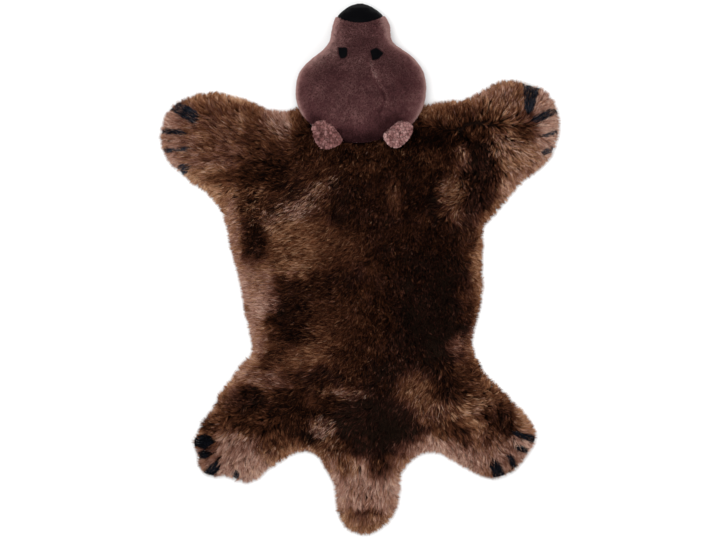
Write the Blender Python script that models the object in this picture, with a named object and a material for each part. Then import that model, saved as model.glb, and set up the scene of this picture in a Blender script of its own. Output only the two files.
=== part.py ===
"""Bear shaped kids rug: a sheepskin pelt sewn from six panels, with a stuffed plush head.

The rug lies flat. X runs to the right of the rug as seen from above, Y runs from the tail to the
nose and Z runs up from the floor. Sizes and places are in millimetres, and MM turns them into
metres where a mesh is made.
"""
from collections import namedtuple
import math

import bmesh
import bpy
import numpy as np
from mathutils import Vector, noise
from mathutils.bvhtree import BVHTree
from mathutils.geometry import delaunay_2d_cdt

MM = 0.001
SEED = 11
SEWN_GAP = 0.3            # clearance between pieces that are sewn edge to edge
PATCH_GAP = 0.4           # clearance under an eye patch
EAR_GAP = 0.8             # clearance under an ear, measured at its mesh points

# The pelt: hide and pile together
PILE_HEIGHT = 33.0        # top of the fur away from the rim
RIM_HEIGHT = 5.0          # thickness of the lock tips on the floor
RIM_ROLL = 36.0           # width over which the fur rounds down to the rim
SEAM_DIP = 4.0            # how far the fur parts down along a seam
SEAM_WIDTH = 15.0
BROAD_LUMP = 5.0          # height and spread of the wide clumps of fur
BROAD_SPREAD = 62.0
FINE_LUMP = 3.5           # height and spread of the small clumps of fur
FINE_SPREAD = 27.0
FUR_PITCH = 15.5          # spacing of the mesh over the fur
FUR_CLEARANCE = 7.0       # nearest that a fur point comes to a seam or the rim
MESH_JITTER = 0.12        # share of the spacing by which mesh points stand out of line
RING_KEEP_OUT = 0.6       # share of the spacing kept free around the ring behind the locks

# The locks at the pelt's rim
LOCK_PITCH = 17.0
LOCK_ROOT_INSET = 4.5     # notch between two locks, inside the drawn outline
LOCK_TIP_REACH = 2.5      # mean reach of a tip past the drawn outline
LOCK_TIP_SPREAD = 1.6
LOCK_LEAN = (0.45, 0.75)  # where a tip stands between its two notches
LOCK_BELLY = 0.4          # share of the way from notch to tip at which a lock is fullest
LOCK_BULGE = 1.2
LOCK_RING_INSET = 12.0    # ring of points that carries the locks' crests and hollows

# The head: a stuffed pad whose rows are sections across it, from the muzzle to the neck
HEAD_SEAM_HEIGHT = 22.0
HEAD_SEAM_BAND = 2.0
HEAD_ROLL = 52.0          # width over which the sides round up to the crown
HEAD_UNDER_ROLL = 17.0    # width over which the underside rounds down to the floor
HEAD_HALF_WIDTH = 134.0
HEAD_SIDE_FALL = 0.25     # share of the crown lost at the head's widest sides
HEAD_PITCH = 11.5
HEAD_CLEARANCE = 4.5
HEAD_DENT = 1.6
HEAD_DENT_SPREAD = 75.0
Section = namedtuple("Section", "y crown")
HEAD_SECTIONS = (
    Section(258, 38), Section(300, 50), Section(350, 57), Section(400, 56), Section(440, 48),
    Section(475, 39), Section(510, 35), Section(552, 32))

CREASE_HEIGHT = 2.4       # a soft ridge in the plush, back from the right eye
CREASE_WIDTH = 9.0
CREASE = ((24, 428), (30, 404), (40, 380), (54, 356), (54, 331))

NOSE_ARC_CENTRE = (-1, 600)
NOSE_ARC_RADIUS = 89.0
NOSE_ARC_STEPS = 60
EYE_THICKNESS = 1.5
EYE_PITCH = 4.0
EYE_CLEARANCE = 2.0
EAR_THICKNESS = 13.0
EAR_EDGE = 2.0
EAR_ROLL = 16.0
EAR_PITCH = 8.0
EAR_CLEARANCE = 4.0
EAR_STRETCH_ROUNDS = 12

CURVE_STEPS = 12
CEILING = 500.0           # height from which the tops of pieces are felt for
WELD_DISTANCE = 0.01
PLAN_TOLERANCE = 0.00001
SMOOTH_ANGLE = 60         # degrees

# Outline of the pelt, anticlockwise from the neck's left, one stretch for each limb and side
ARM_LEFT_RIM = (
    (-133, 331), (-183, 328), (-222, 347), (-268, 358), (-309, 368), (-347, 359), (-376, 348),
    (-396, 331), (-408, 304), (-413, 275), (-410, 244), (-394, 218), (-367, 194), (-338, 172),
    (-311, 151), (-293, 126))
SIDE_LEFT_RIM = ((-280, 97), (-267, 38), (-251, -20), (-241, -70), (-230, -132), (-221, -161), (-226, -184))
LEG_LEFT_RIM = (
    (-249, -198), (-262, -223), (-282, -246), (-299, -269), (-306, -294), (-328, -312),
    (-333, -339), (-351, -361), (-336, -381), (-338, -402), (-322, -430), (-293, -429),
    (-272, -432), (-247, -444), (-216, -438), (-191, -416), (-160, -397), (-133, -380))
TAIL_RIM = (
    (-108, -378), (-85, -391), (-73, -416), (-58, -437), (-52, -462), (-48, -493), (-40, -524),
    (-19, -546), (6, -552), (33, -546), (58, -527), (75, -501), (81, -468), (83, -431), (95, -408),
    (116, -390))
LEG_RIGHT_RIM = (
    (149, -381), (185, -393), (214, -411), (245, -429), (274, -436), (301, -432), (322, -417),
    (340, -399), (350, -380), (364, -362), (366, -337), (350, -311), (321, -279), (293, -250))
SIDE_RIGHT_RIM = ((266, -227), (249, -202), (237, -175), (233, -144), (244, -99), (254, -45), (253, 13),
                  (255, 59), (255, 86))
ARM_RIGHT_RIM = (
    (270, 103), (288, 121), (313, 154), (334, 181), (360, 197), (387, 221), (404, 250), (414, 283),
    (412, 321), (398, 354), (376, 374), (340, 386), (309, 390), (278, 384), (251, 367), (218, 349),
    (176, 347), (133, 339))
NECK = ((80, 345), (0, 350), (-80, 342))      # hidden by the head
PELT_RIM = (ARM_LEFT_RIM + SIDE_LEFT_RIM + LEG_LEFT_RIM + TAIL_RIM + LEG_RIGHT_RIM + SIDE_RIGHT_RIM
            + ARM_RIGHT_RIM + NECK)

# Seams between the trunk and each limb's panel, drawn past the rim at both ends, then the corners
# that close the limb's side of the seam far outside the rug
LIMB_SEAMS = {
    "arm_left": ((-139, 360), (-146, 246), (-187, 163), (-262, 100), (-300, 88)),
    "arm_right": ((285, 80), (260, 98), (214, 153), (206, 246), (203, 375)),
    "leg_left": ((-250, -164), (-215, -180), (-176, -273), (-128, -370), (-122, -405)),
    "leg_right": ((136, -405), (141, -370), (183, -273), (228, -190), (262, -168)),
    "tail": ((-104, -403), (-66, -391), (4, -392), (86, -394), (118, -415)),
}
LIMB_CORNERS = {
    "arm_left": ((-470, 88), (-470, 430), (-139, 430)),
    "arm_right": ((203, 430), (470, 430), (470, 80)),
    "leg_left": ((-122, -480), (-420, -480), (-420, -164)),
    "leg_right": ((420, -168), (420, -480), (136, -480)),
    "tail": ((118, -600), (-104, -600)),
}

# Strips of black fur let into the paws, from the root on the paw to just past its rim
Claw = namedtuple("Claw", "root_x root_y tip_x tip_y root_width tip_width")
CLAWS = {
    "arm_left": (
        Claw(-346, 315, -396, 343, 27, 20), Claw(-362, 281, -418, 286, 8, 11),
        Claw(-353, 249, -417, 244, 5, 7), Claw(-363, 209, -390, 191, 19, 20)),
    "arm_right": (
        Claw(351, 330, 357, 396, 16, 42), Claw(363, 308, 420, 334, 14, 11),
        Claw(380, 276, 421, 286, 5, 7), Claw(379, 240, 417, 254, 8, 11)),
    "leg_left": (
        Claw(-319, -358, -358, -361, 29, 15), Claw(-314, -386, -345, -388, 14, 15),
        Claw(-301, -412, -318, -437, 23, 26), Claw(-257, -427, -265, -449, 15, 17)),
    "leg_right": (
        Claw(318, -341, 373, -359, 8, 17), Claw(316, -370, 359, -382, 5, 12),
        Claw(310, -387, 325, -424, 10, 15), Claw(280, -407, 292, -442, 21, 26)),
}
CLAW_PITCH = 9.0
CLAW_STEP = 8.0
CLAW_RISE = 1.5           # the black strips stand a little proud of the paw
CLAW_ROOT_POINTS = 5

HEAD_RIM = (
    (4, 551), (-19, 547), (-38, 535), (-51, 522), (-58, 505), (-62, 489), (-66, 471), (-83, 451),
    (-102, 436), (-119, 418), (-129, 399), (-133, 375), (-132, 350), (-123, 325), (-100, 298),
    (-71, 276), (-35, 264), (0, 262), (31, 266), (66, 279), (98, 291), (117, 310), (131, 335),
    (137, 366), (135, 399), (126, 419), (113, 437), (93, 453), (71, 469), (65, 487), (64, 502),
    (58, 517), (46, 530), (27, 543))
EYES = {
    "eye_left": ((-45, 457), (-44, 443), (-40, 434), (-31, 435), (-26, 442), (-27, 457)),
    "eye_right": ((21, 450), (26, 430), (38, 433), (49, 445), (34, 457)),
}
EARS = {
    "ear_left": ((-100, 299), (-99, 277), (-91, 258), (-77, 247), (-56, 250), (-35, 264), (-42, 280),
                 (-58, 298), (-79, 308)),
    "ear_right": ((46, 278), (55, 258), (72, 249), (88, 254), (104, 271), (112, 291), (102, 304),
                  (82, 307), (62, 295)),
}

Finish = namedtuple("Finish", "red green blue roughness")
FINISHES = {
    "body_fur": Finish(0.040, 0.020, 0.013, 0.90),
    "arm_fur": Finish(0.105, 0.052, 0.030, 0.90),
    "leg_fur": Finish(0.075, 0.038, 0.024, 0.90),
    "tail_fur": Finish(0.170, 0.095, 0.070, 0.90),
    "claw_fur": Finish(0.008, 0.009, 0.012, 0.85),
    "head_plush": Finish(0.110, 0.055, 0.052, 0.95),
    "ear_curl": Finish(0.330, 0.200, 0.180, 0.95),
    "black_leather": Finish(0.006, 0.006, 0.007, 0.45),
}

Plan = namedtuple("Plan", "points triangles")
Edges = namedtuple("Edges", "rim ring")


# ---------------------------------------------------------------- outlines in plan

def resample(loop, spacing):
    """A closed line of even steps, each about `spacing` long."""
    closed = np.vstack([loop, loop[:1]])
    reach = np.concatenate([[0.0], np.cumsum(np.linalg.norm(np.diff(closed, axis=0), axis=1))])
    stations = np.linspace(0.0, reach[-1], round(reach[-1] / spacing), endpoint=False)
    return np.column_stack([np.interp(stations, reach, closed[:, axis]) for axis in (0, 1)])


def smooth_loop(points, spacing):
    """A closed Catmull-Rom curve through the points, in even steps."""
    knots = np.array(points, dtype=float)
    before, after, beyond = (np.roll(knots, shift, axis=0) for shift in (1, -1, -2))
    steps = np.linspace(0.0, 1.0, CURVE_STEPS, endpoint=False)[:, None]
    stretches = [
        0.5 * (2 * p1 + (p2 - p0) * steps + (2 * p0 - 5 * p1 + 4 * p2 - p3) * steps ** 2
               + (3 * p1 - p0 - 3 * p2 + p3) * steps ** 3)
        for p0, p1, p2, p3 in zip(before, knots, after, beyond)]
    return resample(np.vstack(stretches), spacing)


def outward(loop):
    """Unit normals that point out of an anticlockwise loop."""
    along = np.roll(loop, -1, axis=0) - np.roll(loop, 1, axis=0)
    normals = np.column_stack([along[:, 1], -along[:, 0]])
    return normals / np.linalg.norm(normals, axis=1)[:, None]


def grown(loop, distance):
    return loop + outward(loop) * distance


def anticlockwise(loop):
    x, y = loop.T
    return loop if (x * np.roll(y, -1) - y * np.roll(x, -1)).sum() > 0 else loop[::-1]


def inside(points, loop):
    """Which points lie within the loop, by counting the edges to their right."""
    x, y = points[:, :1], points[:, 1:]
    x0, y0 = loop.T
    x1, y1 = np.roll(loop, -1, axis=0).T
    straddles = (y0 <= y) != (y1 <= y)
    rise = np.where(y1 == y0, 1.0, y1 - y0)
    crossing = x0 + (y - y0) / rise * (x1 - x0)
    return (straddles & (crossing > x)).sum(axis=1) % 2 == 1


def distance_to(points, line, closed=True):
    """Distance from each point to the nearest stretch of the line."""
    starts = line if closed else line[:-1]
    spans = (np.roll(line, -1, axis=0) if closed else line[1:]) - starts
    offsets = points[:, None, :] - starts[None, :, :]
    lengths = (spans ** 2).sum(axis=1)
    along = np.clip((offsets * spans).sum(axis=2) / lengths, 0.0, 1.0)
    return np.linalg.norm(offsets - along[:, :, None] * spans, axis=2).min(axis=1)


def dome(depth, width):
    """0 at the edge, rising as a quarter circle to 1 at `width` inside it."""
    share = np.clip(depth / width, 0.0, 1.0)
    return np.sqrt(1.0 - (1.0 - share) ** 2)


def lump(points, spread):
    """Smooth uneven values between about -1 and 1 that change over `spread`."""
    return np.array([2 * noise.noise(Vector((x, y, SEED)) / spread) for x, y in points])


def locked_rim():
    """The pelt's outline drawn out into locks, and the ring of points that runs behind them."""
    rng = np.random.default_rng(SEED)
    roots = smooth_loop(PELT_RIM, LOCK_PITCH)
    normals = outward(roots)
    steps = np.roll(roots, -1, axis=0) - roots
    reach = LOCK_TIP_REACH + rng.uniform(-1, 1, len(roots)) * LOCK_TIP_SPREAD
    lean = rng.uniform(*LOCK_LEAN, len(roots))[:, None]
    notches = roots - normals * LOCK_ROOT_INSET
    tips = roots + steps * lean + normals * reach[:, None]
    bellies = notches + (tips - notches) * LOCK_BELLY + normals * LOCK_BULGE
    rim = np.stack([notches, bellies, tips], axis=1).reshape(-1, 2)
    ring = np.vstack([roots, roots + steps * 0.5]) - np.vstack([normals, normals]) * LOCK_RING_INSET
    return Edges(rim, ring)


def claw_loop(claw):
    """A strip with a round root that widens or narrows to its end past the paw's rim."""
    root = np.array([claw.root_x, claw.root_y], dtype=float)
    tip = np.array([claw.tip_x, claw.tip_y], dtype=float)
    length = np.linalg.norm(tip - root)
    along = (tip - root) / length
    across = np.array([-along[1], along[0]])
    arc = [root + claw.root_width / 2 * (math.cos(turn) * along + math.sin(turn) * across)
           for turn in np.linspace(math.pi / 2, 3 * math.pi / 2, CLAW_ROOT_POINTS)]
    shares = np.linspace(0, 1, max(2, round(length / CLAW_STEP)) + 1)[1:]
    half_widths = (claw.root_width + (claw.tip_width - claw.root_width) * shares) / 2
    near = [root + along * length * share - across * half for share, half in zip(shares, half_widths)]
    far = [root + along * length * share + across * half for share, half in zip(shares, half_widths)]
    return np.array(arc + near + far[::-1])


def limb_loop(limb):
    """The seam of a limb and the corners that close its side, far outside the rug."""
    seam = np.array(LIMB_SEAMS[limb], dtype=float)
    corners = np.array(LIMB_CORNERS[limb], dtype=float)
    counts = [max(1, round(np.linalg.norm(step) / FUR_PITCH)) for step in np.diff(seam, axis=0)]
    stitches = [np.linspace(start, end, count, endpoint=False)
                for start, end, count in zip(seam[:-1], seam[1:], counts)]
    return anticlockwise(np.vstack([*stitches, seam[-1:], corners]))


def hex_points(loop, pitch):
    """Points in staggered rows over the loop's box, each a little out of line."""
    low, high = loop.min(axis=0), loop.max(axis=0)
    row_pitch = pitch * math.sqrt(3) / 2
    rows = [
        (x + (row % 2) * pitch / 2, low[1] + row * row_pitch)
        for row in range(int((high[1] - low[1]) / row_pitch) + 1)
        for x in np.arange(low[0], high[0] + pitch, pitch)]
    jitter = np.random.default_rng(SEED).uniform(-MESH_JITTER, MESH_JITTER, (len(rows), 2))
    return np.array(rows) + jitter * pitch


def plan_mesh(within, without=(), loose=()):
    """Triangles inside every loop of `within` and outside every loop of `without`."""
    loops = list(within) + list(without)
    points = np.vstack(loops + [loose] if len(loose) else loops)
    ends = np.cumsum([len(loop) for loop in loops])
    faces = [list(range(end - len(loop), end)) for loop, end in zip(loops, ends)]
    vertices, _, triangles, _, _, sources = delaunay_2d_cdt(
        [Vector(point) for point in points], [], faces, 1, PLAN_TOLERANCE)
    wanted = set(range(len(within)))
    kept = [triangle for triangle, source in zip(triangles, sources) if set(source) == wanted]
    used = sorted({index for triangle in kept for index in triangle})
    place = {index: position for position, index in enumerate(used)}
    return Plan(np.array([vertices[index] for index in used]),
                [[place[index] for index in triangle] for triangle in kept])


def mesh_points(candidates, within, without, clearance):
    """The candidates inside `within` and outside `without` that stay clear of all those loops."""
    for loop in within:
        candidates = candidates[inside(candidates, loop)]
    for loop in without:
        candidates = candidates[~inside(candidates, loop)]
    for loop in (*within, *without):
        candidates = candidates[distance_to(candidates, loop) > clearance]
    return candidates


# ---------------------------------------------------------------- solids

def make_material(name):
    finish = FINISHES[name]
    material = bpy.data.materials.new(name)
    material.use_nodes = True
    shader = material.node_tree.nodes["Principled BSDF"]
    shader.inputs["Base Color"].default_value = (finish.red, finish.green, finish.blue, 1)
    shader.inputs["Roughness"].default_value = finish.roughness
    shader.inputs["Metallic"].default_value = 0
    return material


def make_solid(name, material, upper, upper_heights, lower, lower_heights):
    """Close two plans that share an outline into one body, with an upright wall between them."""
    centre = np.round(upper.points.mean(axis=0))
    body = bmesh.new()
    add_sheet(body, lower, lower_heights, centre)
    top_faces = add_sheet(body, upper, upper_heights, centre)
    rim = [edge for edge in {edge for face in top_faces for edge in face.edges} if edge.is_boundary]
    wall = bmesh.ops.extrude_edge_only(body, edges=rim)["geom"]
    for corner in (item for item in wall if isinstance(item, bmesh.types.BMVert)):
        place = np.array(corner.co.xy) / MM + centre
        corner.co.z = lower_heights[np.linalg.norm(lower.points - place, axis=1).argmin()] * MM
    bmesh.ops.remove_doubles(body, verts=body.verts, dist=WELD_DISTANCE * MM)
    bmesh.ops.recalc_face_normals(body, faces=body.faces)
    mesh = bpy.data.meshes.new(name)
    body.to_mesh(mesh)
    body.free()
    mesh.shade_smooth()
    mesh.set_sharp_from_angle(angle=math.radians(SMOOTH_ANGLE))
    mesh.materials.append(material)
    solid = bpy.data.objects.new(name, mesh)
    solid.location = (centre[0] * MM, centre[1] * MM, 0)
    return solid


def add_sheet(body, plan, heights, centre):
    """Add a plan's triangles at the given heights, measured from the plan's centre."""
    corners = [body.verts.new(Vector((*(point - centre), height)) * MM)
               for point, height in zip(plan.points, heights)]
    return [body.faces.new([corners[index] for index in triangle]) for triangle in plan.triangles]


def top_of(solid):
    """A tree over the solid's faces, in world space, for finding its top."""
    corners = [vertex.co + solid.location for vertex in solid.data.vertices]
    return BVHTree.FromPolygons(corners, [list(face.vertices) for face in solid.data.polygons])


# ---------------------------------------------------------------- pelt

def fur_heights(points, rim, seams):
    """Top of the fur: full pile with clumps, parted at the seams and rounded down to the rim."""
    rise = dome(distance_to(points, rim), RIM_ROLL)
    clumps = BROAD_LUMP * lump(points, BROAD_SPREAD) + FINE_LUMP * lump(points, FINE_SPREAD)
    parting = np.zeros(len(points))
    for seam in seams:
        nearness = np.exp(-(distance_to(points, seam, closed=False) / SEAM_WIDTH) ** 2)
        parting = np.maximum(parting, nearness)
    return RIM_HEIGHT + (PILE_HEIGHT - RIM_HEIGHT + clumps - SEAM_DIP * parting) * rise


def make_fur_piece(name, finish, edges, within, without=(), pitch=FUR_PITCH, rise=0.0):
    """One fur panel or strip: a lumpy top over a flat underside on the floor."""
    candidates = hex_points(within[-1], pitch)
    spacing = np.linalg.norm(candidates[:, None, :] - edges.ring[None, :, :], axis=2).min(axis=1)
    candidates = np.vstack([candidates[spacing > pitch * RING_KEEP_OUT], edges.ring])
    upper = plan_mesh(within, without, mesh_points(candidates, within, without, FUR_CLEARANCE))
    lower = plan_mesh(within, without)
    seams = [np.array(seam, dtype=float) for seam in LIMB_SEAMS.values()]
    heights = fur_heights(upper.points, edges.rim, seams) + rise
    return make_solid(name, make_material(finish), upper, heights, lower, np.zeros(len(lower.points)))


def make_pelt(head_rim):
    """The trunk's panel, the limbs' panels, and the claws let into the paws."""
    edges = locked_rim()
    limbs = {limb: limb_loop(limb) for limb in LIMB_SEAMS}
    cuts = [grown(loop, SEWN_GAP) for loop in (*limbs.values(), head_rim)]
    pieces = [make_fur_piece("pelt_body", "body_fur", edges, [edges.rim], cuts)]
    for limb, loop in limbs.items():
        claws = [claw_loop(claw) for claw in CLAWS.get(limb, ())]
        notches = [grown(claw, SEWN_GAP) for claw in claws]
        finish = limb.split("_")[0] + "_fur"
        pieces.append(make_fur_piece(limb, finish, edges, [edges.rim, loop], notches))
        pieces += [
            make_fur_piece(f"claw_{limb}_{number}", "claw_fur", edges, [edges.rim, claw],
                           pitch=CLAW_PITCH, rise=CLAW_RISE)
            for number, claw in enumerate(claws, start=1)]
    return pieces


# ---------------------------------------------------------------- head

def head_heights(points, rim):
    """Top of the head: sections along it, rounded up from the seam, with one soft ridge."""
    crown = np.interp(points[:, 1], [row.y for row in HEAD_SECTIONS], [row.crown for row in HEAD_SECTIONS])
    crown = crown * (1 - HEAD_SIDE_FALL * (points[:, 0] / HEAD_HALF_WIDTH) ** 2)
    nearness = distance_to(points, np.array(CREASE, dtype=float), closed=False) / CREASE_WIDTH
    relief = CREASE_HEIGHT * np.exp(-nearness ** 2) + HEAD_DENT * lump(points, HEAD_DENT_SPREAD)
    rise = dome(distance_to(points, rim), HEAD_ROLL)
    return HEAD_SEAM_HEIGHT + HEAD_SEAM_BAND + (crown + relief) * rise


def head_under_heights(points, rim):
    return HEAD_SEAM_HEIGHT * (1 - dome(distance_to(points, rim), HEAD_UNDER_ROLL))


def nose_loop():
    turns = np.linspace(0, 2 * math.pi, NOSE_ARC_STEPS, endpoint=False)
    return np.array(NOSE_ARC_CENTRE) + NOSE_ARC_RADIUS * np.column_stack([np.cos(turns), np.sin(turns)])


def make_head(rim):
    """The stuffed head, and the cap on its muzzle that carries the same surface on."""
    nose = nose_loop()
    candidates = hex_points(rim, HEAD_PITCH)
    pieces = []
    for name, finish, within, without in (
            ("head", "head_plush", [rim], [grown(nose, SEWN_GAP)]),
            ("nose", "black_leather", [rim, nose], [])):
        plan = plan_mesh(within, without, mesh_points(candidates, within, without, HEAD_CLEARANCE))
        upper = head_heights(plan.points, rim)
        under = head_under_heights(plan.points, rim)
        pieces.append(make_solid(name, make_material(finish), plan, upper, plan, under))
    return pieces


def lift_onto(points, carriers, clearance):
    """Height at which each point just clears the tops of the carriers."""
    heights = []
    for x, y in points:
        start = Vector((x, y, CEILING)) * MM
        hits = [tree.ray_cast(start, Vector((0, 0, -1)))[0] for tree in carriers]
        heights.append(max((hit.z / MM for hit in hits if hit is not None), default=0.0) + clearance)
    return np.array(heights)


def make_eye(name, carriers):
    """A thin patch that follows the plush under it."""
    loop = resample(np.array(EYES[name], dtype=float), EYE_PITCH)
    plan = plan_mesh([loop], [], mesh_points(hex_points(loop, CLAW_STEP), [loop], [], EYE_CLEARANCE))
    under = lift_onto(plan.points, carriers, PATCH_GAP)
    return make_solid(name, make_material("black_leather"), plan, under + EYE_THICKNESS, plan, under)


def taut(plan, heights):
    """Stretch a sheet over what it lies on: it bridges hollows and never sinks."""
    neighbours = [set() for _ in heights]
    for triangle in plan.triangles:
        for index in triangle:
            neighbours[index].update(set(triangle) - {index})
    for _ in range(EAR_STRETCH_ROUNDS):
        means = np.array([heights[list(around)].mean() for around in neighbours])
        heights = np.maximum(heights, means)
    return heights


def make_ear(name, carriers):
    """A small domed pad that leans from the head's back edge down on to the pelt."""
    loop = smooth_loop(EARS[name], EAR_PITCH)
    plan = plan_mesh([loop], [], mesh_points(hex_points(loop, EAR_PITCH), [loop], [], EAR_CLEARANCE))
    under = taut(plan, lift_onto(plan.points, carriers, EAR_GAP))
    swell = EAR_EDGE + (EAR_THICKNESS - EAR_EDGE) * dome(distance_to(plan.points, loop), EAR_ROLL)
    return make_solid(name, make_material("ear_curl"), plan, under + swell, plan, under)


# ---------------------------------------------------------------- assembly

for leftover in list(bpy.data.objects):
    bpy.data.objects.remove(leftover)

rug = bpy.data.collections.new("bear_shaped_kids_rug")
bpy.context.scene.collection.children.link(rug)
head_outline = smooth_loop(HEAD_RIM, HEAD_PITCH)
pelt_pieces = make_pelt(head_outline)
head_pieces = make_head(head_outline)
head_tops = [top_of(piece) for piece in head_pieces]
pelt_tops = [top_of(piece) for piece in pelt_pieces]
eyes = [make_eye(eye, head_tops) for eye in EYES]
ears = [make_ear(ear, head_tops + pelt_tops) for ear in EARS]
for piece in pelt_pieces + head_pieces + eyes + ears:
    rug.objects.link(piece)
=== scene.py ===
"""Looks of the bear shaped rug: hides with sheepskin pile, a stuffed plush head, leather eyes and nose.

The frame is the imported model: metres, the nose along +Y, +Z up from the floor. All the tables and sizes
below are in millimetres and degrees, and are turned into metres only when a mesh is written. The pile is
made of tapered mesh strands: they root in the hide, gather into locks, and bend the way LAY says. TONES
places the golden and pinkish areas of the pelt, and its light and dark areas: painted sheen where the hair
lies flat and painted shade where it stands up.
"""

from collections import namedtuple

import bmesh
import bpy
import numpy as np
from mathutils import Matrix, Vector
from mathutils.bvhtree import BVHTree
from mathutils.kdtree import KDTree


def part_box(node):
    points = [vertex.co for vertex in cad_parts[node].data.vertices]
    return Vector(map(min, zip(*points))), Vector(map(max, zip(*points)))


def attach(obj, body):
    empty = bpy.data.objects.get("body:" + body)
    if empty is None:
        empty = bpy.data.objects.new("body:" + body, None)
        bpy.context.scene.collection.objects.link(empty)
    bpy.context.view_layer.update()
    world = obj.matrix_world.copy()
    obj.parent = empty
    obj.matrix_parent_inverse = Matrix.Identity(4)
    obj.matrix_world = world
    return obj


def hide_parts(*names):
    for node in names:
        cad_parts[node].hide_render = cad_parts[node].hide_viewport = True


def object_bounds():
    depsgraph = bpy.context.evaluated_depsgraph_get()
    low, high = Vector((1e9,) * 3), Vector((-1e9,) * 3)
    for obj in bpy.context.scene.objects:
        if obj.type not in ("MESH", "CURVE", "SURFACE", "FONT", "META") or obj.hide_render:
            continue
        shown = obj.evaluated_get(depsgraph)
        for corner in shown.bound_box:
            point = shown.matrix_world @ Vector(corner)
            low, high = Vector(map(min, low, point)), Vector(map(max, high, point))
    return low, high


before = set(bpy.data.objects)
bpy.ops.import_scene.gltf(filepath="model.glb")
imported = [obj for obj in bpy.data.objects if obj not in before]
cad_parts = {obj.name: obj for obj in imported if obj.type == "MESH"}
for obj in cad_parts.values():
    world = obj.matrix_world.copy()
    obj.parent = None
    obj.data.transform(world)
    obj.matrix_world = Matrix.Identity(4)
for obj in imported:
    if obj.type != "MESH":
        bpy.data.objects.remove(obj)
cad_low, cad_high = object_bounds()

MM = 0.001
WELD = 0.00002            # points of a CAD mesh this near are one, in metres
DOWN = Vector((0, 0, -1))
SKY = 300                 # rays down start at this height

# -------------------- sizes

GRID_PITCH = 2.5          # spacing of the height map
GRID_MARGIN = 30
AROUND = ((1, 0), (-1, 0), (0, 1), (0, -1))
BLOCK = [(i, j) for i in (-1, 0, 1) for j in (-1, 0, 1)]
GAP_ROUNDS = 2            # rounds that close the clearances, and that round off the solids' facets
FACET_ROUNDS = 3
COVER_SPREAD = 6          # cells that the pile runs on under the head
HIDE_THICKNESS = 2.4
HIDE_INSET = 11           # how far the leather stops inside the tips of the pile
HIDE_INSET_BAND = 34

RIM_BAND = 34             # where the pile turns outwards
RIM_OVERHANG = 1.5        # how far a strand may reach past the solid's outline
RIM_UNEVEN = 9            # how unevenly strands end there
RIM_EVENING = 8           # rounds of smoothing of the outline's locks, and of its distance
RIM_SMOOTHING = 4
RIM_SHEEN = 0.10          # how much the pile is painted lighter towards the rim, and at the rim itself: painted sheen on the hair that lies outwards
TIP_SHEEN = 0.38
TIP_BAND = 9
RIM_VARIED = 0.09         # how much more the tone differs there, and the locks' share of that
RIM_STREAK = 0.7
RIM_PULL = 1.7            # how strongly the rim turns the pile outwards
RIM_TIP_HEIGHT = 5
RIM_TIP_VARIED = (0.3, 1.8)
RIM_LOCKS = 1.5           # how far whole locks stand out or in there
GUARD_SHARE = 0.16        # share of strands that stand out past the rim, and how far
GUARD_OVERHANG = 5.5
ROOT_INSET = 6            # how far the outermost strands root inside the outline
FRINGE_BAND = 24          # the band of extra strands along the rim, and their spacing and width as shares
FRINGE_PITCH = 0.9
FRINGE_WIDTH = 0.6

ROOT_HEIGHT = HIDE_THICKNESS - 0.4
REACH_UPRIGHT = 4         # sideways reach of a strand that stands up, and of one combed flat
REACH_COMBED = 27
REACH_BROAD = 0.10        # how much the lean differs between broad locks, and the reach between strands
REACH_VARIED = (0.80, 1.12)
TURN_COMBED = 7           # how far broad locks turn when combed flat, and how much more upright ones do
TURN_UPRIGHT = 24
TURN_FINE = 7             # how far fine locks turn, and single strands
TURN_STRAND = 5
PULL_VARIED = (0.5, 1.0)  # how much the pull to a lock's middle differs, and is less at the rim
RIM_LOOSE = 0.85
TOP_FINE = 1.0            # how much the height differs between fine locks, broad ones and strands
TOP_BROAD = 1.2
TOP_STRAND = (-4, 0.5)
STRAND_BULGE = 0.30       # share of the reach at the strand's bend
STRAND_RISE = 0.80        # share of the height there, less by RIM_FLAT of it at the rim, and at least this
RIM_FLAT = 0.3
STRAND_RISE_LEAST = 0.15
WAVE = 3.0                # how far locks bow sideways, and how much less at the rim
RIM_STRAIGHT = 0.7
WIDTH_VARIED = (0.7, 1.25)
STRAND_ROLL = 40          # how unevenly strands turn about their length
HEAD_COVERS = 12          # roots this far in under the head are left out
LOCK_CELLS = 512          # locks repeat after so many cells, and lie off a cell's corner by such shares
LOCK_SHIFT = (0.12, 0.88)
NOISE_CELLS = 256

CLAW_PITCH = 1.15         # spacing of a claw's strands
CLAW_WIDTH = 1.15
CLAW_WIDTH_VARIED = (0.6, 1.2)
CLAW_REACH = 16
CLAW_REACH_VARIED = (0.4, 1.0)
CLAW_BACK = 0.45          # the share of its reach by which a strand starts behind its place
CLAW_SPREAD = 9           # how far a strand turns, in degrees, and how far it strays sideways
CLAW_FRAY = 1.7
CLAW_RISE = 0.95
CLAW_TOP_VARIED = (-1.5, 3.0)
CLAW_INSET = 1.2          # how far a tip stays inside the rim, where it needn't draw back further than this
CLAW_DRAW = 5
CLAW_CORE = 3             # of a cell's four neighbours, how many lie in the claw at its core
THIN_CLAW = 0.35          # a claw whose core is a smaller share than this counts as a whole
CLAW_VARIED = 0.18        # how much the tone differs between strands, and between streaks of this size
CLAW_STREAK = 0.22
CLAW_STREAK_SIZE = 1.8

# -------------------- the way the pile lies
# angle: where the tips point, anticlockwise from +X. lean: 0 upright, 1 combed flat.

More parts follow.
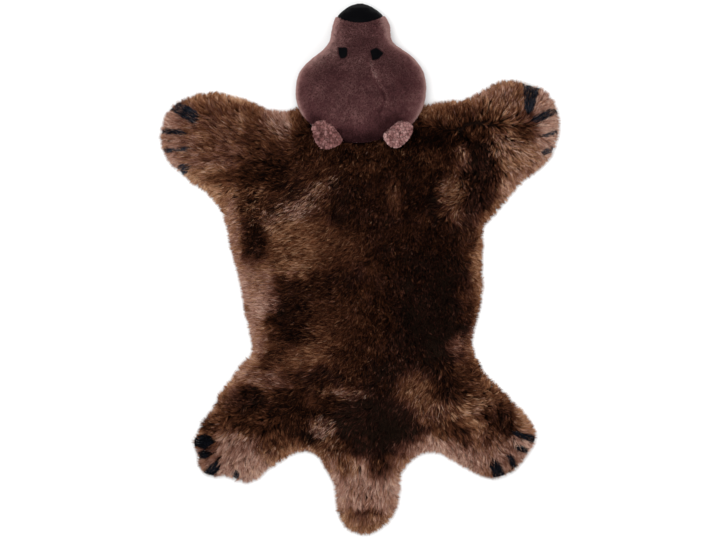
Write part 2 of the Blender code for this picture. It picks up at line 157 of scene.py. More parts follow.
Lay = namedtuple("Lay", "x y radius angle lean")
LAY = [Lay(*row) for row in (
    # left arm
    (-385, 285, 45, 176, 0.90), (-335, 345, 34, 125, 0.75), (-270, 350, 38, 100, 0.75),
    (-200, 325, 34, 108, 0.70), (-250, 272, 45, 158, 0.90), (-310, 250, 45, 168, 0.95),
    (-180, 285, 30, 150, 0.80), (-310, 200, 32, 196, 0.85), (-230, 205, 36, 172, 0.70),
    (-135, 320, 24, 105, 0.60), (-180, 225, 34, 185, 0.45),
    # right arm
    (300, 350, 42, 82, 0.80), (250, 340, 36, 96, 0.75), (195, 335, 34, 92, 0.65), (145, 325, 28, 100, 0.60),
    (350, 330, 30, 50, 0.80), (385, 290, 34, 6, 0.90), (345, 262, 30, 335, 0.80), (300, 270, 24, 318, 0.85),
    (325, 222, 34, 313, 0.95), (365, 225, 30, 335, 0.90), (305, 165, 26, 302, 0.75),
    (245, 190, 42, 265, 0.25), (250, 270, 34, 275, 0.30), (270, 125, 24, 310, 0.60),
    # trunk, left half
    (-268, 110, 26, 182, 0.85), (-262, 40, 28, 182, 0.85), (-215, 60, 28, 200, 0.25),
    (-215, 140, 30, 222, 0.55), (-130, 125, 40, 211, 1.00), (-60, 180, 34, 216, 0.85),
    (-110, 55, 50, 190, 0.95), (-35, 45, 45, 186, 0.80), (-150, 5, 38, 186, 0.90),
    (-225, -30, 36, 186, 0.95), (-200, -85, 30, 176, 0.90), (-140, -110, 34, 190, 0.35),
    (-215, -150, 26, 182, 0.85), (-100, -170, 46, 190, 0.85), (-80, -100, 45, 184, 0.60),
    (-190, -225, 40, 178, 0.80), (-20, -258, 34, 176, 0.80), (-90, -30, 40, 190, 0.50),
    # trunk, middle and right half
    (30, 60, 90, 250, 0.30), (0, 220, 60, 255, 0.35), (110, -60, 90, 280, 0.20), (20, -200, 60, 250, 0.35),
    (75, 150, 20, 250, 0.80), (190, 150, 28, 184, 0.80), (205, 108, 18, 320, 0.80),
    (215, 232, 20, 300, 0.80), (243, 20, 26, 358, 0.85), (228, -70, 24, 356, 0.70),
    (120, 250, 50, 260, 0.25),
    # left leg
    (-275, -265, 32, 160, 0.60), (-310, -325, 26, 165, 0.70), (-245, -350, 32, 246, 0.90),
    (-285, -395, 28, 222, 0.95), (-225, -410, 30, 268, 0.95), (-175, -375, 34, 276, 0.80),
    (-120, -372, 30, 266, 0.70), (-230, -290, 34, 200, 0.30), (-74, -335, 18, 225, 0.90),
    # right leg
    (205, -160, 26, 2, 0.80), (232, -215, 26, 350, 0.60), (120, -245, 34, 236, 0.95),
    (160, -300, 30, 285, 0.80), (215, -287, 26, 355, 0.85), (130, -365, 28, 268, 0.85),
    (205, -375, 36, 292, 0.90), (288, -305, 30, 295, 0.40), (335, -325, 24, 335, 0.85),
    (285, -400, 34, 308, 0.90), (255, -255, 26, 20, 0.50),
    # tail
    (15, -455, 46, 270, 0.95), (-45, -425, 26, 256, 0.90), (75, -425, 26, 288, 0.90),
    (12, -500, 26, 268, 0.75), (12, -530, 30, 270, 0.90), (-35, -490, 22, 262, 0.95),
    (68, -490, 22, 280, 0.95),
)]
LAY_BASE = Lay(0, 0, 0, 262, 0.35)
LAY_BASE_WEIGHT = 0.02

# -------------------- light and dark areas: painted sheen and shade, and the pile's hue
# tone: 0 black to 1 pale; light areas are painted sheen where the pile lies flat, dark ones painted shade
# where it stands up. pink: 0 golden brown to 1 pinkish brown. streak: how much the tone differs
# from lock to lock. turn: anticlockwise, where an area's radii don't lie along X and Y.

Tone = namedtuple("Tone", "x y radius_x radius_y tone pink streak turn", defaults=(0,))
TONES = [Tone(*row) for row in (
    # left arm
    (-325, 285, 70, 60, 0.55, 0.50, 0.12), (-290, 345, 60, 22, 0.54, 0.10, 0.12, -8),
    (-388, 270, 28, 66, 0.78, 0.85, 0.10), (-200, 262, 40, 30, 0.36, 0.20, 0.12, -20),
    (-170, 300, 26, 28, 0.72, 0.90, 0.16), (-124, 300, 16, 36, 0.30, 0.10, 0.10),
    (-245, 190, 50, 14, 0.24, 0.00, 0.10, 8), (-275, 165, 30, 12, 0.64, 0.20, 0.10, -20),
    (-185, 210, 36, 26, 0.18, 0.10, 0.10),
    # right arm
    (300, 345, 58, 32, 0.60, 0.48, 0.13), (365, 355, 20, 26, 0.72, 0.95, 0.12),
    (250, 300, 42, 24, 0.32, 0.20, 0.14), (180, 330, 58, 16, 0.56, 0.10, 0.12),
    (160, 270, 55, 22, 0.08, 0.00, 0.06), (343, 325, 10, 22, 0.90, 0.70, 0.15, -20),
    (352, 292, 18, 12, 0.24, 0.10, 0.12), (305, 250, 44, 22, 0.74, 0.35, 0.20, -45),
    (345, 222, 46, 28, 0.70, 0.45, 0.14, -35), (388, 298, 28, 56, 0.84, 0.90, 0.10),
    (303, 168, 14, 24, 0.78, 0.35, 0.12), (272, 122, 20, 16, 0.48, 0.00, 0.12, 30),
    (240, 185, 30, 66, 0.12, 0.60, 0.08),
    # trunk, left half
    (-215, 58, 22, 36, 0.08, 0.50, 0.08), (-264, 70, 15, 80, 0.64, 0.60, 0.12),
    (-130, 125, 75, 18, 0.60, 0.55, 0.30, 28), (-72, 182, 40, 11, 0.56, 0.50, 0.28, 30),
    (-110, 52, 80, 40, 0.58, -0.20, 0.16), (-20, 45, 40, 32, 0.42, -0.10, 0.16),
    (-125, -2, 38, 9, 0.70, 0.30, 0.16), (-220, -28, 34, 36, 0.74, 0.70, 0.12, -20),
    (-195, -75, 22, 18, 0.86, 0.90, 0.16), (-143, -105, 26, 46, 0.09, 0.30, 0.08, -10),
    (-95, -35, 50, 24, 0.20, 0.20, 0.10), (-75, -112, 55, 42, 0.38, 0.10, 0.14),
    (-102, -168, 70, 20, 0.58, 0.10, 0.15, 8), (-175, -182, 40, 12, 0.20, 0.20, 0.10, 25),
    (-218, -145, 18, 46, 0.66, 0.60, 0.12), (-200, -222, 48, 16, 0.64, 0.55, 0.14, -8),
    (-100, -228, 50, 14, 0.14, 0.30, 0.08), (-22, -258, 46, 8, 0.52, 0.50, 0.24, -5),
    (-120, -290, 46, 26, 0.13, 0.10, 0.08), (-225, 130, 22, 34, 0.28, 0.10, 0.20),
    # trunk, middle and right half
    (60, 60, 110, 130, 0.15, 0.40, 0.07), (150, -90, 66, 90, 0.05, 0.85, 0.05),
    (40, -320, 66, 46, 0.06, 0.80, 0.06), (0, -110, 60, 60, 0.30, 0.10, 0.12),
    (0, 225, 80, 34, 0.32, 0.10, 0.13), (73, 150, 11, 28, 0.58, 0.10, 0.18, 10),
    (192, 150, 20, 42, 0.58, 0.30, 0.20, -8), (214, 232, 12, 26, 0.54, 0.40, 0.22, 15),
    (140, 228, 28, 26, 0.32, 0.00, 0.13), (250, 10, 16, 60, 0.70, 0.05, 0.14),
    (228, -80, 18, 36, 0.38, 0.00, 0.12), (90, -200, 60, 40, 0.16, 0.55, 0.09),
    # left leg
    (-240, -275, 28, 32, 0.08, 0.50, 0.08), (-284, -270, 16, 36, 0.44, 0.10, 0.12),
    (-200, -318, 66, 22, 0.26, 0.10, 0.11), (-320, -322, 22, 22, 0.42, 0.00, 0.14),
    (-243, -390, 56, 44, 0.82, 0.90, 0.13, -10), (-252, -345, 38, 9, 0.76, 0.50, 0.14, 5),
    (-180, -378, 32, 26, 0.52, 0.15, 0.14), (-110, -376, 38, 14, 0.52, 0.20, 0.14),
    (-72, -330, 24, 15, 0.66, 0.85, 0.32, -20), (-75, -372, 30, 18, 0.42, 0.20, 0.20),
    # right leg
    (205, -160, 28, 20, 0.58, 0.55, 0.15, -10), (232, -218, 28, 26, 0.34, 0.20, 0.12),
    (118, -245, 32, 30, 0.58, 0.00, 0.17, 30), (155, -292, 36, 18, 0.40, 0.45, 0.18),
    (175, -225, 30, 26, 0.16, 0.20, 0.10), (190, -262, 26, 12, 0.22, 0.20, 0.12),
    (222, -287, 36, 11, 0.68, 0.30, 0.17, 10), (290, -308, 36, 32, 0.22, 0.30, 0.11, 30),
    (213, -335, 15, 13, 0.15, 0.20, 0.08), (345, -322, 20, 18, 0.72, 0.30, 0.12),
    (180, -380, 75, 18, 0.80, 0.90, 0.13, -10), (262, -388, 44, 26, 0.68, 0.80, 0.14),
    (335, -375, 26, 22, 0.60, 0.95, 0.12), (262, -218, 20, 28, 0.36, 0.00, 0.13, 30),
    # tail
    (12, -455, 60, 50, 0.86, 0.85, 0.09), (38, -408, 22, 22, 0.14, 0.20, 0.10, -20),
    (-28, -408, 12, 18, 0.44, 0.20, 0.16, -20), (14, -505, 34, 6, 0.28, 0.20, 0.12),
    (12, -528, 50, 18, 0.70, 0.20, 0.11), (12, -546, 14, 8, 0.36, 0.20, 0.14),
)]
TONE_BASE = Tone(0, 0, 0, 0, 0.26, 0.20, 0.11)
TONE_BASE_WEIGHT = 0.05
TONE_EDGE = 1.3           # a higher power has the areas end more sharply
TONE_WOBBLE = ((10, 26, 301), (5, 9, 303))    # how uneven their outlines are: amount, size and seed
DARK_TONE = 0.34          # below this the pile counts as dark, wholly so a band further down
DARK_BAND = 0.2
DARK_STREAK = 0.08        # the dark areas differ more from lock to lock, and are painted darker still, as shade where the pile stands up
DARK_SHADE_SINK = 0.085
LOCK_STREAK = 0.9         # how much of the streak a lock's strands share
PELT_MOTTLE = ((0.06, 34, 77), (0.06, 14, 78))
PINK_VARIED = 0.22        # how much the pinkness differs from strand to strand
PINK_MOTTLE = ((0.2, 20, 79),)

# Painted sheen and shade: where the pile is painted lighter or darker for the way it lies. tone: what is
# added there.
SheenAndShade = namedtuple("SheenAndShade", "x y radius_x radius_y tone turn", defaults=(0,))
PELT_SHEEN_AND_SHADE = [SheenAndShade(*row) for row in (
    # left arm
    (-337, 177, 46, 18, 0.56, -38), (-299, 142, 14, 26, 0.42), (-303, 204, 34, 12, 0.42),
    (-258, 354, 26, 9, 0.78, -8), (-238, 296, 14, 22, 0.26), (-175, 260, 24, 14, 0.12, -15),
    (-189, 311, 15, 11, -0.30), (-142, 298, 9, 22, 0.28), (-342, 308, 8, 8, 0.22),
    (-305, 294, 10, 10, -0.18), (-187, 213, 12, 10, -0.14), (-247, 213, 12, 8, 0.16),
    # right arm
    (280, 162, 12, 22, 0.36), (247, 168, 12, 36, 0.10), (144, 301, 20, 14, 0.28), (246, 303, 12, 10, 0.46),
    (234, 270, 12, 16, 0.14), (284, 310, 14, 10, 0.18), (322, 296, 10, 10, 0.22), (324, 271, 12, 10, -0.16),
    (349, 312, 13, 14, -0.50), (267, 260, 16, 14, -0.42), (298, 238, 22, 12, -0.22, 45),
    (158, 144, 15, 40, -0.44), (198, 329, 26, 16, -0.26), (320, 387, 12, 8, 0.16), (229, 355, 16, 9, 0.22),
    # trunk, left half
    (-51, 182, 16, 14, -0.42), (-150, 138, 46, 14, -0.32, 38), (-91, 145, 16, 8, -0.30),
    (-73, 163, 14, 10, -0.16), (-113, 160, 15, 17, -0.15), (-156, 132, 12, 10, -0.12),
    (-50, 134, 16, 12, -0.11), (-91, 47, 16, 12, 0.16), (-91, -1, 12, 8, -0.20), (-152, -9, 12, 8, -0.16),
    (-166, -29, 14, 12, 0.15), (-158, 176, 12, 18, -0.16), (-220, 148, 10, 12, -0.14),
    (-190, 50, 16, 12, -0.25), (-237, 65, 12, 36, 0.12), (-201, 94, 12, 12, -0.16), (-165, 82, 26, 8, 0.10),
    (-112, 97, 14, 10, 0.16), (-245, 165, 12, 8, 0.16), (-172, -70, 16, 20, -0.40),
    (-105, -80, 16, 18, -0.26), (-183, -125, 24, 15, 0.22), (-112, -142, 20, 26, -0.28),
    (-160, -185, 16, 20, -0.10), (-192, -232, 14, 20, -0.18), (-209, -190, 18, 12, 0.30),
    (-110, -212, 50, 8, 0.10, 3), (-58, -172, 24, 19, -0.17, -30), (-99, -274, 20, 14, 0.26, -40),
    (-77, -258, 10, 9, -0.22), (-79, -308, 12, 10, -0.18), (-22, 234, 44, 18, -0.18),
    # trunk, middle and right half
    (112, 229, 22, 14, -0.21, 30), (122, 94, 32, 32, 0.15), (35, 60, 12, 34, 0.08), (164, 40, 14, 14, 0.08),
    (-4, 192, 14, 14, -0.18), (35, 170, 14, 30, 0.12), (80, 170, 14, 20, 0.10), (25, -32, 30, 36, 0.15),
    (28, 0, 36, 9, 0.16), (68, 80, 16, 12, 0.16), (15, -142, 12, 12, -0.14), (37, -123, 14, 12, -0.10),
    (208, -30, 18, 45, 0.10), (253, -3, 9, 22, -0.32), (253, 136, 10, 12, 0.14), (214, 50, 10, 15, 0.26),
    (245, 60, 10, 20, -0.27), (-28, -174, 12, 12, -0.14), (2, -264, 28, 10, -0.24, -8),
    (213, -142, 12, 26, -0.30), (230, -94, 10, 14, -0.14), (150, -174, 16, 38, -0.23),
    (74, -337, 34, 15, -0.24), (52, -210, 24, 15, -0.19, 20),
    # left leg
    (-260, -241, 24, 18, 0.50, 30), (-257, -284, 16, 22, 0.34), (-303, -292, 10, 10, 0.22),
    (-236, -294, 12, 10, -0.14), (-170, -316, 22, 8, 0.18), (-100, -347, 20, 17, -0.70),
    (-218, -310, 14, 8, 0.12), (-304, -333, 26, 9, -0.14, -20), (-212, -360, 38, 12, -0.28),
    (-318, -376, 18, 22, -0.60), (-320, -320, 14, 15, -0.44), (-268, -333, 18, 8, -0.32),
    (-286, -351, 12, 8, 0.20), (-55, -320, 22, 16, -0.34), (-50, -372, 14, 24, -0.12),
    (-129, -380, 14, 8, 0.16),
    # right leg
    (232, -320, 37, 22, 0.54, -10), (212, -334, 9, 8, -0.34), (236, -344, 12, 8, 0.18),
    (242, -250, 14, 12, 0.18), (148, -342, 30, 13, 0.42, 5), (104, -397, 14, 10, 0.18),
    (332, -360, 42, 14, 0.36, -20), (272, -275, 16, 18, 0.22), (282, -240, 10, 12, 0.28, 45),
    (324, -412, 9, 8, 0.30), (334, -294, 16, 14, 0.60, -50), (112, -285, 34, 20, 0.08, 30),
    (143, -234, 14, 16, 0.20), (103, -213, 12, 10, 0.12), (204, -204, 10, 20, 0.16),
    (185, -268, 18, 22, -0.14, 30), (168, -310, 12, 10, -0.16), (240, -209, 10, 12, -0.16),
    (78, -245, 14, 18, -0.10), (280, -405, 30, 8, -0.12, 20),
    # tail
    (-4, -405, 16, 18, 0.22), (85, -404, 12, 16, 0.20), (-57, -388, 10, 10, 0.14),
    (50, -418, 13, 24, -0.26, -25), (60, -372, 26, 8, -0.14), (12, -500, 26, 7, -0.12),
    (14, -530, 16, 12, -0.18), (62, -486, 8, 16, -0.14), (22, -434, 10, 8, 0.10),
)]
# painted sheen and shade on the head's plush, darkest along its back edge as painted shadow
HEAD_SHEEN_AND_SHADE = [SheenAndShade(*row) for row in (
    (-52, 499, 14, 24, 0.08), (56, 499, 12, 24, 0.06), (-4, 474, 22, 16, -0.05), (-46, 400, 50, 16, -0.05),
    (-76, 438, 44, 18, 0.24, 38), (0, 426, 30, 16, 0.12), (96, 385, 26, 24, -0.14), (52, 408, 14, 10, 0.05),
    (-17, 319, 18, 12, 0.06), (62, 303, 36, 20, -0.40, 15), (-96, 304, 22, 15, -0.46),
    (99, 271, 15, 16, -0.54), (-40, 257, 18, 12, -0.30), (6, 258, 14, 8, 0.20), (-46, 450, 18, 16, 0.18),
    (34, 270, 16, 12, -0.10), (-40, 294, 26, 18, -0.16), (31, 400, 6, 8, 0.30, -35),
)]

# -------------------- panels, claws and nap

# coat: the slot of a panel's pile. suffixes: of the meshes that the pile is split into. pitch: the spacing
# of the strands in each. Locks: spacing and pull of the fine ones, and spacing of the broad ones.
Locks = namedtuple("Locks", "fine pull broad")
Pelt = namedtuple("Pelt", "panel coat suffixes pitch width locks")
PANELS = ["pelt_body", "arm_left", "arm_right", "leg_left", "leg_right", "tail"]
PELTS = [Pelt("pelt_body", "body_fur", ("_a", "_b", "_c"), 2.24, 1.55, Locks(5.0, 0.75, 15))]
for panel in PANELS[1:]:
    PELTS.append(Pelt(panel, panel.split("_")[0] + "_fur", ("",), 1.34, 1.45, Locks(4.6, 0.75, 14)))

# For each paw's four claws, the tone of the strands and the share of the brown strands about a claw that
# run on over it.
Claw = namedtuple("Claw", "node panel tone mixed")
CLAWS = []
for panel, rows in (
    ("arm_left", ((0.40, 0.16), (0.36, 0.22), (0.58, 0.40), (0.52, 0.34))),
    ("arm_right", ((0.40, 0.18), (0.36, 0.20), (0.62, 0.40), (0.62, 0.40))),
    ("leg_left", ((0.10, 0.03), (0.14, 0.05), (0.20, 0.08), (0.44, 0.35))),
    ("leg_right", ((0.28, 0.10), (0.24, 0.04), (0.24, 0.08), (0.18, 0.05))),
):
    for number, row in enumerate(rows, 1):
        CLAWS.append(Claw(f"claw_{panel}_{number}", panel, *row))
CLAW_MIXED = np.array([row.mixed for row in CLAWS] + [0.0])    # and none where there is no claw
COVERS = ["head", "nose"]

# Nap on a stuffed form: short strands that stand on its surface. spread and lean turn their tips,
# gather pulls those of one lock together, and mottle is how much the tone differs from strand to strand.
Nap = namedtuple("Nap", "count length width spread lock gather lean mottle")
HEAD_NAP = Nap(60000, 3.6, 1.0, 0.16, 4.0, 0.15, (0, -0.45, 0), 0.05)
EAR_NAP = Nap(13000, 2.6, 0.9, 0.50, 5.2, 0.42, (0, 0, 0), 0.07)
NAP_LENGTH_VARIED = (0.7, 1.15)
NAP_WIDTH_VARIED = (0.7, 1.2)
NAP_STRAY = 0.2           # how far single strands turn
NAP_LOWEST = 1.0          # no nap roots lower than this, or where the surface faces down more than this
NAP_FACING = -0.75
NAP_FLOOR = 0.6           # nor do its strands reach lower than this
NAP_ROOT = 0.6            # how deep they root
NAP_BEND = 0.75           # share of the height at their bend, and of the way aside
NAP_ASIDE = 0.2
FORM_FLOOR = 0.4          # no point of a stuffed form is lower than this

# -------------------- colours
# Each family runs from dark to pale, as sRGB out of 255.

GOLDEN = [(13, 5, 3), (54, 28, 16), (98, 57, 37), (150, 102, 72), (208, 163, 128)]
PINKISH = [(12, 5, 4), (60, 33, 26), (110, 68, 54), (160, 115, 98), (214, 177, 158)]
CLAW_COLORS = [(9, 10, 13), (18, 20, 26), (36, 39, 48), (66, 68, 77), (116, 110, 112)]
PLUSH_COLORS = [(28, 12, 13), (65, 36, 38), (106, 65, 67), (151, 106, 104), (194, 154, 148)]
CURL_COLORS = [(60, 31, 31), (106, 63, 62), (153, 102, 99), (194, 144, 140), (228, 188, 182)]
PILE_SPECULAR = 0.03
FAMILY_HALF = 0.495       # share of the ramp that each family takes up
FAMILY_MAP = 0.49         # and of the map's height, which starts at these places
GOLDEN_FROM = 0.001
PINKISH_FROM = 0.505
TONE_LIMITS = (0.004, 0.996)


def linear(rgb):
    """An sRGB colour out of 255 as a linear RGBA one."""
    c = np.array(rgb, float) / 255
    c = np.where(c <= 0.04045, c / 12.92, ((c + 0.055) / 1.055) ** 2.4)
    return (*c, 1.0)


# -------------------- materials

def new_material(name, roughness, specular):
    """A Principled material, its nodes and its shader."""
    material = bpy.data.materials.new(name)
    material.use_nodes = True
    tree = material.node_tree
    shader = tree.nodes["Principled BSDF"]
    shader.inputs["Roughness"].default_value = roughness
    shader.inputs["Specular IOR Level"].default_value = specular
    return material, tree, shader


def add_ramp(tree, stops, source):
    """A colour ramp over source, with stops of (place, linear colour)."""
    ramp = tree.nodes.new("ShaderNodeValToRGB")
    elements = ramp.color_ramp.elements
    while len(elements) < len(stops):
        elements.new(0.5)
    for element, (place, color) in zip(elements, stops):
        element.position = place
        element.color = color
    tree.links.new(source, ramp.inputs["Fac"])
    return ramp.outputs["Color"]


def mix_colors(tree, mode, factor, a, b):
    """Blends colour b over a; factor, a and b are sockets or values."""
    mix = tree.nodes.new("ShaderNodeMix")
    mix.data_type = "RGBA"
    mix.blend_type = mode
    for socket, value in zip((mix.inputs[0], mix.inputs[6], mix.inputs[7]), (factor, a, b)):
        if isinstance(value, bpy.types.NodeSocket):
            tree.links.new(value, socket)
        else:
            socket.default_value = value
    return mix.outputs[2]


def add_noise(tree, scale, detail):
    """The value of a noise over the object, scale in cycles a metre."""
    node = tree.nodes.new("ShaderNodeTexNoise")
    node.inputs["Scale"].default_value = scale
    node.inputs["Detail"].default_value = detail
    tree.links.new(tree.nodes.new("ShaderNodeTexCoord").outputs["Object"], node.inputs["Vector"])
    return node.outputs["Fac"]


def mottled_material(name, roughness, specular, scale, detail, dark, light):
    """A material mottled between two linear colours."""
    material, tree, shader = new_material(name, roughness, specular)
    color = mix_colors(tree, "MIX", add_noise(tree, scale, detail), dark, light)
    tree.links.new(color, shader.inputs["Base Color"])
    return material


def split_places(tree, source):
    """The X, Y and Z of a place."""
    split = tree.nodes.new("ShaderNodeSeparateXYZ")
    tree.links.new(source, split.inputs[0])
    return split.outputs


def family_stops(first, colors):
    """Stops of a ramp that holds a family of colours from the place first on."""
    return [(first + FAMILY_HALF * i / (len(colors) - 1), linear(c)) for i, c in enumerate(colors)]


def pile_material(name, golden=GOLDEN, pinkish=PINKISH, root_painted_shade=0.30, roughness=0.7):
    """Strand colour from the map named OFBake: across it runs root to tip, painted darker towards the root
    as shade deep in the pile, and up it the strand's tone.
    """
    material, tree, shader = new_material(name, roughness, PILE_SPECULAR)
    place = tree.nodes.new("ShaderNodeUVMap")
    place.uv_map = "OFBake"
    split = split_places(tree, place.outputs["UV"])
    tip = add_ramp(tree, family_stops(0, golden) + family_stops(1 - FAMILY_HALF, pinkish), split["Y"])
    # painted shade: each strand darkens towards its root, deep in the pile
    painted_root_shades = [(at, (shade, shade, shade, 1)) for at, shade in ((0.0, root_painted_shade), (0.45, 0.62), (0.95, 1.0))]
    color = mix_colors(tree, "MULTIPLY", 1.0, tip, add_ramp(tree, painted_root_shades, split["X"]))
    tree.links.new(color, shader.inputs["Base Color"])
    return material


def pile_shade(tone, pink=0.0):
    """The height on the OFBake map of a tone from 0 to 1, in the golden or the pinkish family."""
    tone = np.clip(tone, *TONE_LIMITS) * FAMILY_MAP
    return np.where(pink > 0.5, tone + PINKISH_FROM, tone + GOLDEN_FROM)


# -------------------- fields over the floor plan

def unit(vectors):
    """Vectors at a length of one."""
    return vectors / np.maximum(np.linalg.norm(vectors, axis=1), 1e-6)[:, None]


def turned(way, angle):
    """Directions in plan, turned anticlockwise by an angle in radians."""
    return np.stack([way[..., 0] * np.cos(angle) - way[..., 1] * np.sin(angle),
                     way[..., 0] * np.sin(angle) + way[..., 1] * np.cos(angle)], 1)


def ramp(values, start, end):
    """0 where values are at start and 1 at end, and no less or more beyond them."""
    return np.clip((values - start) / (end - start), 0, 1)


def eased(t):
    """A share from 0 to 1 that starts and ends gently."""
    return t * t * (3 - 2 * t)


def blended(grid, i, j, t):
    """Values of a grid between its cells i and j, the share t of the way across each side."""
    if grid.ndim == 3:
        t = t[:, :, None]
    near = grid[i[:, 0], i[:, 1]] * (1 - t[:, 0]) + grid[j[:, 0], i[:, 1]] * t[:, 0]
    far = grid[i[:, 0], j[:, 1]] * (1 - t[:, 0]) + grid[j[:, 0], j[:, 1]] * t[:, 0]
    return near * (1 - t[:, 1]) + far * t[:, 1]


def soft_noise(xy, size, seed):
    """Smooth noise from -1 to 1 over points xy, with bumps of about size mm."""
    cells = np.random.default_rng(seed).uniform(-1, 1, (NOISE_CELLS, NOISE_CELLS))
    p = xy / size + NOISE_CELLS / 2
    i = np.floor(p).astype(int)
    return blended(cells, i % NOISE_CELLS, (i + 1) % NOISE_CELLS, eased(p - i))


def mottled(values, xy, rows):
    """Adds soft noises to values at points xy. The rows hold amount, size and seed."""
    for amount, size, seed in rows:
        values = values + amount * soft_noise(xy, size, seed)
    return values


def lay_at(xy):
    """Direction of the tips and lean, at points xy."""
    weight = np.zeros(len(xy))
    way = np.zeros((len(xy), 2))
    lean = np.zeros(len(xy))
    for row in [LAY_BASE] + LAY:
        off = ((xy - (row.x, row.y)) ** 2).sum(1)
        w = np.exp(-off / row.radius ** 2) if row.radius else np.full(len(xy), LAY_BASE_WEIGHT)
        angle = np.radians(row.angle)
        way += np.outer(w, (np.cos(angle), np.sin(angle)))
        lean += w * row.lean
        weight += w
    return unit(way), lean / weight


def ellipse(xy, row):
    """Squared distance of points xy from the middle of a row's ellipse, 1 on its rim."""
    turn = np.radians(row.turn)
    dx, dy = (xy - (row.x, row.y)).T
    across = (dx * np.cos(turn) + dy * np.sin(turn)) / row.radius_x
    along = (dy * np.cos(turn) - dx * np.sin(turn)) / row.radius_y
    return across ** 2 + along ** 2


def tone_at(xy):
    """Tone, pinkness and streakiness, at points xy. The tone is painted sheen where the pile lies flat and
    painted shade where it stands up.
    """
    at = xy + sum(amount * np.stack([soft_noise(xy, size, seed), soft_noise(xy, size, seed + 1)], 1)
                  for amount, size, seed in TONE_WOBBLE)
    weight = np.full(len(xy), TONE_BASE_WEIGHT)
    found = np.outer(weight, (TONE_BASE.tone, TONE_BASE.pink, TONE_BASE.streak))
    for row in TONES:
        w = np.exp(-ellipse(at, row) ** TONE_EDGE)
        found += np.outer(w, (row.tone, row.pink, row.streak))
        weight += w
    return (found / weight[:, None]).T


def sheen_and_shade_at(xy, rows):
    """What the painted sheen and shade patches add to the tone, at points xy."""
    added = np.zeros(len(xy))
    for row in rows:
        added += row.tone * np.exp(-ellipse(xy, row))
    return added


# -------------------- reading the CAD solids

def tree_of(node):
    """A CAD node's surface in mm, for ray casts."""
    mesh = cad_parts[node].data
    points = [v.co / MM for v in mesh.vertices]
    return BVHTree.FromPolygons(points, [p.vertices[:] for p in mesh.polygons])


def plan_box(node):
    """The corners of a CAD node's box in plan."""
    return [np.array(corner)[:2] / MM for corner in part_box(node)]


def plan_points(node):
    """The points of a CAD node in plan."""
    return np.array([v.co[:2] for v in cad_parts[node].data.vertices]) / MM


def flat_size(node):
    """The sides of a CAD node's box in plan, in metres."""
    low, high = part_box(node)
    return high.x - low.x, high.y - low.y


def gathered(grid, steps=AROUND):
    """For each cell of a grid, the sum over its neighbours."""
    return sum(np.roll(grid, step, (0, 1)) for step in steps)


